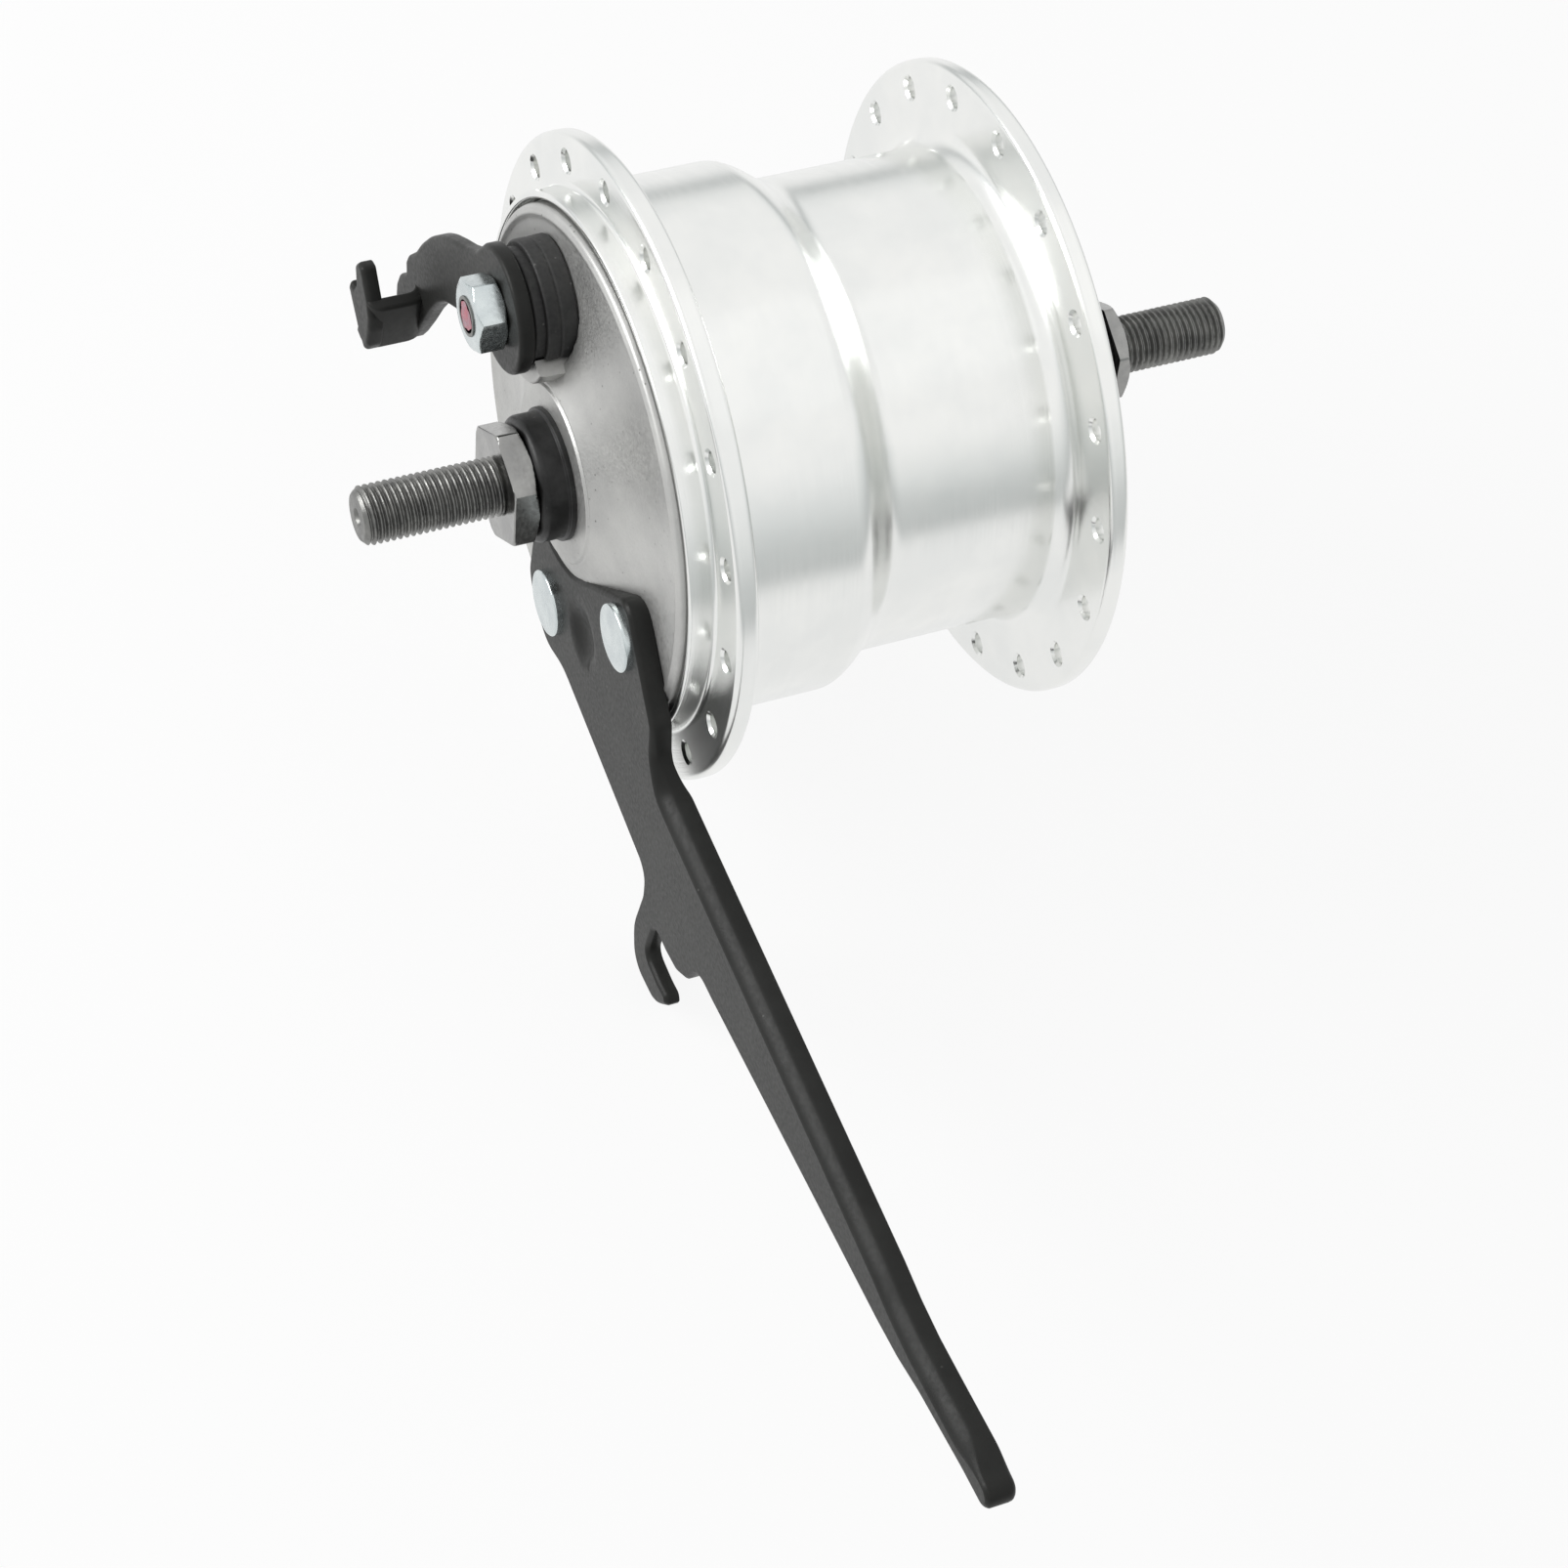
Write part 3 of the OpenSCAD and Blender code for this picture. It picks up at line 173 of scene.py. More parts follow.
# Profile of (radius, y) carried round a line along Y, over the whole turn or a sector with two end faces
def turned(profile, columns, centre=(0, 0), start=0, sweep=360, closeRows=True):
    p = np.array(profile, float)
    whole = sweep == 360
    a = np.radians(start + sweep * np.arange(columns if whole else columns + 1) / columns)
    points, faces = gridMesh(around(p[:, :1], p[:, 1:], a, centre), closeRows, whole)
    if not whole and closeRows:
        first = np.arange(len(p)) * len(a)
        faces += [first.tolist(), (first[::-1] + len(a) - 1).tolist()]
    return points, faces


# Smoothstep t t (3 - 2 t), from 0 at the start to 1 when the width is passed
def ramp(x, start, width):
    t = np.clip((x - start) / width, 0, 1)
    return t * t * (3 - 2 * t)


# Signed distance of points to a closed outline, positive inside: nearest side, sign by crossings
def depthInside(points, outline):
    best = np.full(len(points), np.inf)
    inside = np.zeros(len(points), bool)
    for p, q in zip(outline, np.roll(outline, -1, 0)):
        d = q - p
        t = np.clip(((points - p) @ d) / (d @ d + 1e-12), 0, 1)
        best = np.minimum(best, np.linalg.norm(points - p - t[:, None] * d, axis=1))
        if p[1] != q[1]:
            crosses = (p[1] > points[:, 1]) != (q[1] > points[:, 1])
            inside ^= crosses & (points[:, 0] < p[0] + (points[:, 1] - p[1]) * d[0] / d[1])
    return np.where(inside, best, -best)


sheet = {"edgeSteps": 5, "innerLine": 0.2, "gridMargin": 0.55}  # how every cut plate below is meshed


# Face inside a loop: triangles over the loop, a line close inside it and a grid, at the height of heightAt
def filledFace(loop, inward, outline, heightAt, fill):
    low, high = loop.min(0), loop.max(0)
    gx, gz = np.meshgrid(np.arange(low[0], high[0], fill), np.arange(low[1], high[1], fill))
    grid = np.column_stack([gx.ravel(), gz.ravel()])
    grid = grid[depthInside(grid, loop) > sheet["gridMargin"] * fill]
    spots = np.vstack([loop, loop + sheet["innerLine"] * inward, grid])
    sides = [(i, (i + 1) % len(loop)) for i in range(len(loop))]
    flat, _, triangles, *_ = delaunay_2d_cdt(spots.tolist(), sides, [], 1, 1e-7)
    flat = np.array([v[:] for v in flat])
    middle = np.array([flat[list(t)].mean(0) for t in triangles])
    keep = depthInside(middle, loop) > 0
    depth = np.maximum(depthInside(flat, outline), 0)
    solid = np.column_stack([flat[:, 0], heightAt(flat[:, 0], flat[:, 1], depth), flat[:, 1]])
    return solid, [list(t) for t, k in zip(triangles, keep) if k]


# Plate with rounded edges: rings step inwards by r (1 - sin) while they turn from wall to face, or on a
# straight bevel by its share. frontAt and backAt give a face's height from x, z and the depth inside
def rounded(outline, frontAt, backAt, roundFront, roundBack, spacing, fill, bevel=0.0):
    p = evenly(outline, spacing)
    if np.sum(p[:, 0] * np.roll(p[:, 1], -1) - np.roll(p[:, 0], -1) * p[:, 1]) < 0:
        p = p[::-1]
    along = np.roll(p, -1, 0) - np.roll(p, 1, 0)
    inward = np.column_stack([-along[:, 1], along[:, 0]]) / np.linalg.norm(along, axis=1)[:, None]
    turn = np.linspace(0, math.pi / 2, sheet["edgeSteps"] + 1)[:, None]
    straight = np.linspace(0, 1, sheet["edgeSteps"] + 1)[:, None]
    rFront, rBack = [r(p) if callable(r) else np.full(len(p), float(r)) for r in (roundFront, roundBack)]
    front, back = [at(p[:, 0], p[:, 1], np.zeros(len(p))) for at in (frontAt, backAt)]
    inset = np.vstack([rFront * ((1 - bevel) * (1 - np.sin(turn)) + bevel * (1 - straight)),
                       rBack * (1 - np.cos(turn))])
    y = np.vstack([front + rFront * ((1 - bevel) * (1 - np.cos(turn)) + bevel * straight),
                   back - rBack * (1 - np.sin(turn))])
    rings = p[None] + inset[..., None] * inward[None]
    return [gridMesh(np.stack([rings[..., 0], y, rings[..., 1]], -1), False, True),
            filledFace(rings[0], inward, p, frontAt, fill), filledFace(rings[-1], inward, p, backAt, fill)]


def flatAt(y):  # a face at one height, for rounded
    return lambda x, z, depth: np.full(len(x), y)


def addObject(name, data):
    made = bpy.data.objects.new(name, data)
    bpy.context.scene.collection.objects.link(made)
    return made


meshing = {"merge": 5e-7, "degenerate": 1e-8}  # in metres


# One mesh from several surfaces, with its doubles merged and its faces turned outwards
def makePiece(name, parts, body, finish, nodes, crease=32):
    points = np.vstack([p for p, f in parts]) * mm
    faces, shift = [], 0
    for p, f in parts:
        faces += [[k + shift for k in face] for face in f]
        shift += len(p)
    mesh = bpy.data.meshes.new(name)
    mesh.from_pydata(points.tolist(), [], faces)
    work = bmesh.new()
    work.from_mesh(mesh)
    bmesh.ops.remove_doubles(work, verts=work.verts, dist=meshing["merge"])
    bmesh.ops.dissolve_degenerate(work, edges=work.edges, dist=meshing["degenerate"])
    bmesh.ops.recalc_face_normals(work, faces=work.faces)
    work.to_mesh(mesh)
    work.free()
    mesh.polygons.foreach_set("use_smooth", np.ones(len(mesh.polygons), bool))
    mesh.set_sharp_from_angle(angle=math.radians(crease))
    mesh.materials.append(paints[finish])
    piece = addObject(name, mesh)
    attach(piece, body)
    if nodes:
        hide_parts(*nodes)
    print("built", name, len(mesh.polygons), "faces")


# Finishes: two colours mixed by a soft cloud, specks, and a grain or lathe rings that drive gloss and bump

finishes = {
    "polishedAluminium": {"colour": (0.87, 0.875, 0.855), "shade": (0.82, 0.83, 0.815), "cloud": 60,
                          "grain": 4200, "rings": True, "metal": 1.0, "rough": (0.19, 0.27),
                          "bump": (0.06, 0.01)},
    "castAluminium": {"colour": (0.53, 0.53, 0.515), "shade": (0.46, 0.46, 0.45), "cloud": 90, "grain": 2600,
                      "metal": 0.85, "rough": (0.40, 0.56), "bump": (0.35, 0.03),
                      "specks": (520, 0.11, (0.17, 0.17, 0.16))},
    "blackPaint": {"colour": (0.0165, 0.0168, 0.0158), "shade": (0.022, 0.0224, 0.021), "cloud": 120,
                   "grain": 1500, "rough": (0.34, 0.46), "bump": (0.2, 0.03), "specular": 0.15,
                   "specks": (210, 0.05, (0.10, 0.10, 0.095))},
    "blackSteel": {"colour": (0.012, 0.012, 0.012), "shade": (0.03, 0.03, 0.03), "cloud": 260, "grain": 2200,
                   "rough": (0.3, 0.45), "bump": (0.2, 0.02), "specular": 0.25,
                   "specks": (420, 0.1, (0.09, 0.09, 0.085))},
    "zincSteel": {"colour": (0.66, 0.71, 0.71), "shade": (0.56, 0.61, 0.62), "cloud": 220, "grain": 1800,
                  "metal": 1.0, "rough": (0.16, 0.3), "bump": (0.15, 0.02)},
    "nutSteel": {"colour": (0.34, 0.34, 0.33), "shade": (0.27, 0.27, 0.265), "cloud": 240, "grain": 1800,
                 "metal": 1.0, "rough": (0.14, 0.26), "bump": (0.15, 0.02)},
    "axleSteel": {"colour": (0.24, 0.24, 0.23), "shade": (0.16, 0.16, 0.155), "cloud": 300, "grain": 1600,
                  "metal": 0.9, "rough": (0.32, 0.46), "bump": (0.15, 0.02)},
    "bearingSteel": {"colour": (0.55, 0.56, 0.57), "shade": (0.47, 0.48, 0.49), "cloud": 200, "grain": 2400,
                     "rings": True, "metal": 1.0, "rough": (0.18, 0.28), "bump": (0.1, 0.01)},
    "coreIron": {"colour": (0.14, 0.14, 0.145), "shade": (0.10, 0.10, 0.105), "cloud": 200, "grain": 1800,
                 "metal": 0.7, "rough": (0.45, 0.6), "bump": (0.25, 0.03)},
    "magnet": {"colour": (0.06, 0.06, 0.065), "shade": (0.04, 0.04, 0.045), "cloud": 260, "grain": 2200,
               "rough": (0.45, 0.6), "bump": (0.2, 0.02)},
    "bronze": {"colour": (0.50, 0.34, 0.15), "shade": (0.40, 0.27, 0.12), "cloud": 240, "grain": 1900,
               "metal": 1.0, "rough": (0.28, 0.42), "bump": (0.15, 0.02)},
    "copperWire": {"colour": (0.50, 0.20, 0.08), "shade": (0.38, 0.14, 0.05), "cloud": 160, "grain": 3600,
                   "rings": True, "metal": 1.0, "rough": (0.25, 0.4), "bump": (0.6, 0.2)},
    "leadInsulation": {"colour": (0.20, 0.025, 0.02), "shade": (0.15, 0.02, 0.016), "cloud": 300,
                       "grain": 1800, "rough": (0.45, 0.55), "bump": (0.1, 0.02)},
    "blackPlastic": {"colour": (0.018, 0.019, 0.021), "shade": (0.028, 0.029, 0.031), "cloud": 240,
                     "grain": 2600, "rough": (0.4, 0.55), "bump": (0.25, 0.03)},
    "blackRubber": {"colour": (0.012, 0.012, 0.012), "shade": (0.024, 0.024, 0.023), "cloud": 300,
                    "grain": 1500, "rough": (0.5, 0.68), "bump": (0.3, 0.04),
                    "specks": (520, 0.12, (0.14, 0.14, 0.135))},
    "brakeLining": {"colour": (0.09, 0.065, 0.045), "shade": (0.06, 0.045, 0.03), "cloud": 420,
                    "grain": 1500, "rough": (0.7, 0.85), "bump": (0.5, 0.06),
                    "specks": (700, 0.2, (0.3, 0.22, 0.1))},
    "lockPaint": {"colour": (0.36, 0.10, 0.13), "shade": (0.28, 0.16, 0.19), "cloud": 700, "grain": 1500,
                  "rough": (0.35, 0.5), "bump": (0.3, 0.05)},
}
noise = {"cloudDetail": 4, "cloudRough": 0.6, "cloudSpan": (0.38, 0.62), "speckCore": 0.5,
         "grainDetail": 2, "grainRough": 0.5, "grainSpan": (0.3, 0.7)}


def addNode(tree, kind, inputs=None, **settings):
    made = tree.nodes.new(kind)
    for key, value in settings.items():
        setattr(made, key, value)
    for key, value in (inputs or {}).items():
        made.inputs[key].default_value = value
    return made


# Coordinates that run along the radius and the axle only, so that the grain goes round
def ringCoordinates(tree, where):
    link = tree.links.new
    parts = addNode(tree, "ShaderNodeSeparateXYZ")
    across = addNode(tree, "ShaderNodeCombineXYZ")
    radius = addNode(tree, "ShaderNodeVectorMath", operation="LENGTH")
    ringAt = addNode(tree, "ShaderNodeCombineXYZ")
    link(where, parts.inputs[0])
    link(parts.outputs["X"], across.inputs["X"])
    link(parts.outputs["Z"], across.inputs["Y"])
    link(across.outputs[0], radius.inputs[0])
    link(radius.outputs["Value"], ringAt.inputs["X"])
    link(parts.outputs["Y"], ringAt.inputs["Y"])
    return ringAt.outputs[0]


# Dots of a scattered pattern in a third colour, only where the cloud is thick
def addSpecks(tree, where, thick, colour, specks):
    scale, reach, tone = specks
    link = tree.links.new
    dots = addNode(tree, "ShaderNodeTexVoronoi", {"Scale": scale, "Randomness": 1.0})
    pick = addNode(tree, "ShaderNodeMapRange", {"From Min": reach,
                                                "From Max": reach * noise["speckCore"]})
    patchy = addNode(tree, "ShaderNodeMath", operation="MULTIPLY")
    marked = addNode(tree, "ShaderNodeMix", {7: (*tone, 1)}, data_type="RGBA")
    link(where, dots.inputs["Vector"])
    link(dots.outputs["Distance"], pick.inputs["Value"])
    link(pick.outputs["Result"], patchy.inputs[0])
    link(thick, patchy.inputs[1])
    link(patchy.outputs[0], marked.inputs[0])
    link(colour, marked.inputs[6])
    return marked.outputs[2]


def makeFinish(name, look):
    material = bpy.data.materials.new(name)
    material.use_nodes = True
    tree = material.node_tree
    link = tree.links.new
    shader = tree.nodes["Principled BSDF"]
    shader.inputs["Metallic"].default_value = look.get("metal", 0)
    shader.inputs["Specular IOR Level"].default_value = look.get("specular", 0.5)
    where = addNode(tree, "ShaderNodeTexCoord").outputs["Object"]
    cloud = addNode(tree, "ShaderNodeTexNoise", {"Scale": look["cloud"], "Detail": noise["cloudDetail"],
                                                 "Roughness": noise["cloudRough"]})
    thick = addNode(tree, "ShaderNodeMapRange", {"From Min": noise["cloudSpan"][0],
                                                 "From Max": noise["cloudSpan"][1]})
    tones = addNode(tree, "ShaderNodeMix", {6: (*look["colour"], 1), 7: (*look["shade"], 1)},
                    data_type="RGBA")
    link(where, cloud.inputs["Vector"])
    link(cloud.outputs["Fac"], thick.inputs["Value"])
    link(thick.outputs["Result"], tones.inputs[0])
    colour = tones.outputs[2]
    if look.get("specks"):
        colour = addSpecks(tree, where, thick.outputs["Result"], colour, look["specks"])
    link(colour, shader.inputs["Base Color"])
    grain = addNode(tree, "ShaderNodeTexNoise", {"Scale": look["grain"], "Detail": noise["grainDetail"],
                                                 "Roughness": noise["grainRough"]})
    link(ringCoordinates(tree, where) if look.get("rings") else where, grain.inputs["Vector"])
    gloss = addNode(tree, "ShaderNodeMapRange", {"From Min": noise["grainSpan"][0],
                                                 "From Max": noise["grainSpan"][1],
                                                 "To Min": look["rough"][0], "To Max": look["rough"][1]})
    link(grain.outputs["Fac"], gloss.inputs["Value"])
    link(gloss.outputs["Result"], shader.inputs["Roughness"])
    bump = addNode(tree, "ShaderNodeBump", {"Strength": look["bump"][0], "Distance": look["bump"][1] * mm})
    link(grain.outputs["Fac"], bump.inputs["Height"])
    link(bump.outputs["Normal"], shader.inputs["Normal"])
    return material


def slotFinish(slot):  # the finish of a CAD slot has the same words: black_paint wears blackPaint
    first, *others = slot.split("_")
    return first + "".join(word.capitalize() for word in others)


paints = {name: makeFinish(name, look) for name, look in finishes.items()}
for subpart in frame["record"]["subparts"]:
    cadMesh = frame["nodes"][subpart["node"]].data
    cadMesh.materials.clear()
    cadMesh.materials.append(paints[slotFinish(subpart["material_slot"])])
print("finishes made:", len(paints))


# Hub shell: one profile carried round the axle, with the flange faces opened round each spoke hole

shellBox = ends("hub_shell")
shell = {
    "columnsPerHole": 24, "holeCell": 4, "holeRows": 6, "holeChamfer": 0.42, "holeBand": (42.0, 46.6),
    "cellSteps": (0, 0.35, 0.65, 0.88, 0.97, 1), "leftPhase": 15.5, "rightPhase": 5.5,
    "lip": (39.4, 40.5), "lipFront": shellBox[0][1], "lipFillet": 1.45, "lipEdge": 0.35,
    "leftFlange": (-31.95, -28.65), "rightFlange": (25.45, 28.35), "flangeR": shellBox[1][0],
    "flangeEdge": 1.0, "drumR": 39.88, "drumRoot": 1.5, "dynamoR": 35.81, "rightFillet": 5.0,
    "shoulder": (-9.7, -1.5), "shoulderRows": 25,
    "collarR": 36.96, "collarEnd": shellBox[1][1], "collarEdge": 0.4, "collarRoot": 0.5,
    "mouth": -33.0, "mouthEdge": 0.2, "linerR": 36.83, "web": (-9.2, -3.7), "webFillet": 1.0,
    "housing": (17.53, -9.7, -0.2), "housingRoot": 0.8, "housingEdge": 0.4,
    "bearingBore": (14.03, -8.7), "bearingLip": 12.53, "bearingEdge": 0.3, "bearingSeat": 0.2,
    "dynamoBore": 33.96, "dynamoEdge": 0.3,
}
spokes = {m["name"]: m["dims"] for m in frame["record"]["mounts"] if m["name"].startswith("spokes")}


# Flange with round holes: in each hole's cell, rings run from the cell's edge to the hole's rim,
# point = edge + t (rim - edge), then down the chamfer and the bore to the other face
def flangeFaces(yFront, yBack, phase, dims):
    count, pitchR = dims["count"], dims["pcd_mm"] / 2
    per, h, rows = shell["columnsPerHole"], shell["holeCell"], shell["holeRows"]
    chamfer = shell["holeChamfer"]
    rim = dims["hole_r_mm"] + chamfer
    step = 360 / count / per
    rIn, rOut = shell["holeBand"]
    radii = np.linspace(rIn, rOut, rows + 1)
    # column and radius of each point round the edge of a cell
    j = np.concatenate([np.arange(-h, h), np.full(rows, h), np.arange(h, -h, -1), np.full(rows, -h)])
    r = np.concatenate([np.full(2 * h, rIn), radii[:-1], np.full(2 * h, rOut), radii[:0:-1]])
    parts = []
    for k in range(count):
        mid = phase + 360 / count * k
        plain = np.radians(mid + step * np.arange(h, per - h + 1))
        parts += [gridMesh(around(radii[:, None], y, plain), False, False) for y in (yFront, yBack)]
        a = np.radians(mid + step * j)
        edge = np.column_stack([r * np.cos(a), r * np.sin(a)])
        centre = pitchR * np.array([math.cos(math.radians(mid)), math.sin(math.radians(mid))])
        way = (edge - centre) / np.linalg.norm(edge - centre, axis=1)[:, None]
        cell = [edge + t * (centre + rim * way - edge) for t in shell["cellSteps"]]
        cone = [(centre + (rim - d) * way, d) for d in (0.5 * chamfer, chamfer)]
        loops = [(q, yFront) for q in cell] + [(q, yFront + d) for q, d in cone]
        loops += [(q, yBack - d) for q, d in cone[::-1]] + [(q, yBack) for q in cell[::-1]]
        grid = np.stack([np.column_stack([q[:, 0], np.full(len(q), y), q[:, 1]]) for q, y in loops])
        parts.append(gridMesh(grid, False, True))
    return parts


def buildShell():
    s = shell
    (l0, l1), (r0, r1) = s["leftFlange"], s["rightFlange"]
    rIn, rOut = s["holeBand"]
    lipIn, lipOut = s["lip"]
    webLeft, webRight = s["web"]
    housingR, housingLeft, housingRight = s["housing"]
    boreR, boreLeft = s["bearingBore"]
    inside = softened([
        (rIn, l0, 0), (lipOut, l0, s["lipFillet"]),
        (lipOut, s["lipFront"], s["lipEdge"]), (lipIn, s["lipFront"], s["lipEdge"]),
        (lipIn, s["mouth"], s["mouthEdge"]), (s["linerR"], s["mouth"], s["mouthEdge"]),
        (s["linerR"], webLeft, s["webFillet"]), (housingR, webLeft, s["housingRoot"]),
        (housingR, housingLeft, s["housingEdge"]), (s["bearingLip"], housingLeft, s["bearingEdge"]),
        (s["bearingLip"], boreLeft, s["bearingSeat"]), (boreR, boreLeft, s["bearingSeat"]),
        (boreR, housingRight, s["housingEdge"]), (housingR, housingRight, s["housingEdge"]),
        (housingR, webRight, s["housingRoot"]), (s["dynamoBore"], webRight, s["webFillet"]),
        (s["dynamoBore"], s["collarEnd"], s["dynamoEdge"]), (s["collarR"], s["collarEnd"], s["collarEdge"]),
        (s["collarR"], r1, s["collarRoot"]), (rIn, r1, 0)], closed=False)
    t = np.linspace(0, 1, s["shoulderRows"])
    fall = (1 + np.cos(math.pi * t)) / 2  # the shoulder falls from drum to dynamo on half a cosine
    shoulder = np.column_stack([s["dynamoR"] + (s["drumR"] - s["dynamoR"]) * fall,
                                s["shoulder"][0] + (s["shoulder"][1] - s["shoulder"][0]) * t])
    leftRoot = roundCorners([(rIn, l1), (s["drumR"], l1), shoulder[0]], s["drumRoot"], closed=False)
    rightRoot = roundCorners([shoulder[-1], (s["dynamoR"], r0), (rIn, r0)], s["rightFillet"], closed=False,
                             steps=14)
    lines = [inside, np.vstack([leftRoot[:-1], shoulder, rightRoot[1:]])]
    for a, b in ((l0, l1), (r0, r1)):
        lines.append(roundCorners([(rOut, a), (s["flangeR"], a), (s["flangeR"], b), (rOut, b)],
                                  s["flangeEdge"], closed=False))
    columns = s["columnsPerHole"] * spokes["spokes_left"]["count"]
    parts = [turned(holdEdges(line, False), columns, start=s["rightPhase"], closeRows=False)
             for line in lines]
    parts += flangeFaces(l0, l1, s["leftPhase"], spokes["spokes_left"])
    parts += flangeFaces(r0, r1, s["rightPhase"], spokes["spokes_right"])
    makePiece("hubShell", parts, "hub", "polishedAluminium", ["hub_shell"])


buildShell()


# End cover of the dynamo: a dished profile with a turned step, and four spanner dimples

cover = {
    "columns": 240, "spacing": 0.5, "spigot": (30.93, 33.93), "spigotEnd": 27.85, "seat": 30.85,
    "wall": 30.05, "wallRoot": 1.0, "lipR": 35.46, "lipTop": 32.85, "lipEdge": 0.5,
    "stepR": 31.4, "stepSlant": 0.6, "stepRise": 1.0, "stepRoot": 0.5, "stepEdge": 0.8,
    "crown": (20.53, 37.4, 2.5), "nose": (17.53, 39.0, 1.0), "back": (17.53, 34.4, 1.5),
    "boreLip": 12.53, "boreLipEdge": 0.4, "boreR": 14.03, "bore": (38.0, 29.5), "edge": 0.3, "fineEdge": 0.2,
    "dimples": 4, "firstDimple": -45, "dimpleAt": 25.0, "dimpleR": 1.15, "dimpleWall": 0.5,
    "dimpleDepth": 1.6, "dimpleAbove": 32.65,
}


def buildCover():
    c = cover
    spigotIn, spigotOut = c["spigot"]
    boreTop, boreEnd = c["bore"]
    edge, fine = c["edge"], c["fineEdge"]
    outline = softened([
        (spigotIn, c["spigotEnd"], edge), (spigotOut, c["spigotEnd"], edge), (spigotOut, c["seat"], fine),
        (c["lipR"], c["seat"], fine), (c["lipR"], c["lipTop"], c["lipEdge"]),
        (c["stepR"], c["lipTop"], c["stepRoot"]),
        (c["stepR"] - c["stepSlant"], c["lipTop"] + c["stepRise"], c["stepEdge"]), c["crown"], c["nose"],
        (c["boreLip"], c["nose"][1], c["boreLipEdge"]), (c["boreLip"], boreTop, fine),
        (c["boreR"], boreTop, fine), (c["boreR"], boreEnd, edge), (c["back"][0], boreEnd, edge), c["back"],
        (spigotIn, c["wall"], c["wallRoot"])])
    points, faces = turned(evenly(holdEdges(outline), c["spacing"]), c["columns"])
    # dimples: the outside sinks by depth (1 - ramp of the distance past the radius) at each place
    outside = points[:, 1] > c["dimpleAbove"]
    for k in range(c["dimples"]):
        a = math.radians(c["firstDimple"] + 360 / c["dimples"] * k)
        x, z = c["dimpleAt"] * math.cos(a), c["dimpleAt"] * math.sin(a)
        away = np.hypot(points[:, 0] - x, points[:, 2] - z)
        sink = c["dimpleDepth"] * (1 - ramp(away, c["dimpleR"], c["dimpleWall"]))
        points[:, 1] -= np.where(outside, sink, 0)
    makePiece("endCover", [(points, faces)], "hub", "polishedAluminium", ["end_cover"])


buildCover()


# Reaction arm: outline in X and Z with a radius for each corner, rounded edges, a dish and a hollow back

arm = {
    "spacing": 0.6, "fill": 1.3, "bevel": 0.6,
    "edge": 0.65, "stripEdge": 2.3, "backEdge": 0.3, "tipEdge": 1.2,
    "hollowR": 16.2, "hollow": (-102.5, -39.0), "hollowSteps": 24, "hollowCorners": (1.6, 1.0),
    "stripFrom": (44.3, 6.2), "edgeFrom": (41, 8), "edgeTo": (154, 8), "tipFrom": (157, 6),  # start, width
    "rim": 2.0, "rimSlope": 0.6, "hollowDepth": 1.3, "headBack": plateFace, "dishR": 4.9, "dishDepth": 1.4,
    "hookX": (45, 70), "hookLine": ((50.2, 70.7), (-33.4, -27.6)), "hookSlope": 1.2, "hookDepth": 2.4,
    "midLine": ((44, 134, 165), (-20, -8.1, 1.1)),
    "top": [(26.4, 5.5, 3.2), (41.6, -5.55, 2.7), (43.7, -10.8, 4), (47.9, -13.15, 4), (50.5, -13.2, 12),
            (128.5, -4.4, 8), (134.3, -4.15, 6), (140.4, -3.2, 6), (146.4, -1.55, 8), (158.7, 2.0, 0),
            (164.6, 3.3, 2.1), (166, -0.6, 2.2)],
    "low": [(158.7, -2.65, 0), (146.2, -7.0, 8), (139.7, -9.95, 6), (133.3, -11.95, 8), (75.9, -26.6, 12),
            (70.7, -27.6, 5), (68.4, -34.3, 1.3), (65.8, -36.9, 3), (61.6, -38.2, 6), (57.0, -38.6, 4),
            (57.0, -47.7, 1.7), (62.3, -47.3, 8), (64.9, -46.6, 0.6), (66.2, -47.7, 0.9), (63.2, -52.8, 4.5),
            (54.6, -54.7, 4.6), (51.3, -47.5, 8), (51.5, -38.0, 6), (50.2, -33.4, 3)],
    "foot": [(14.4, -33.4, 8), (8.2, -36.2, 6), (1.5, -34.6, 5), (-2.5, -30.4, 5), (-3.5, -22.6, 4)],
}


def armOutline():  # an arc round the axle's spacer, then the corners of the upper edge, lower edge and foot
    a = np.radians(np.linspace(*arm["hollow"], arm["hollowSteps"]))
    radii = np.zeros(len(a))
    radii[[0, -1]] = arm["hollowCorners"]
    hollow = np.column_stack([arm["hollowR"] * np.cos(a), arm["hollowR"] * np.sin(a), radii])
    return softened(np.vstack([hollow, arm["top"], arm["low"], arm["foot"]]), steps=8)


def armFront(x, z, depth):  # a flat face with the dish of a sphere's cap over the anchor pin
    away = np.hypot(x - anchorAt[0], z - anchorAt[1])
    sphere = (arm["dishR"] ** 2 + arm["dishDepth"] ** 2) / (2 * arm["dishDepth"])
    cap = np.sqrt(np.maximum(sphere ** 2 - away ** 2, 0)) - (sphere - arm["dishDepth"])
    return yArm + np.maximum(cap, 0)


def armBack(x, z, depth):  # the head meets the plate, the strip is hollow inside a rim, and the hook is thin
    strip = ramp(x, *arm["stripFrom"])
    rear = arm["headBack"] + strip * (yArmBack - arm["headBack"])
    hook = ramp(np.interp(x, *arm["hookLine"]), z, arm["hookSlope"])
    hook = hook * (x > arm["hookX"][0]) * (x < arm["hookX"][1])
    hollow = strip * ramp(depth, arm["rim"], arm["rimSlope"]) * arm["hollowDepth"] * (1 - hook)
    return rear - hollow + hook * (yArm + arm["hookDepth"] - rear)


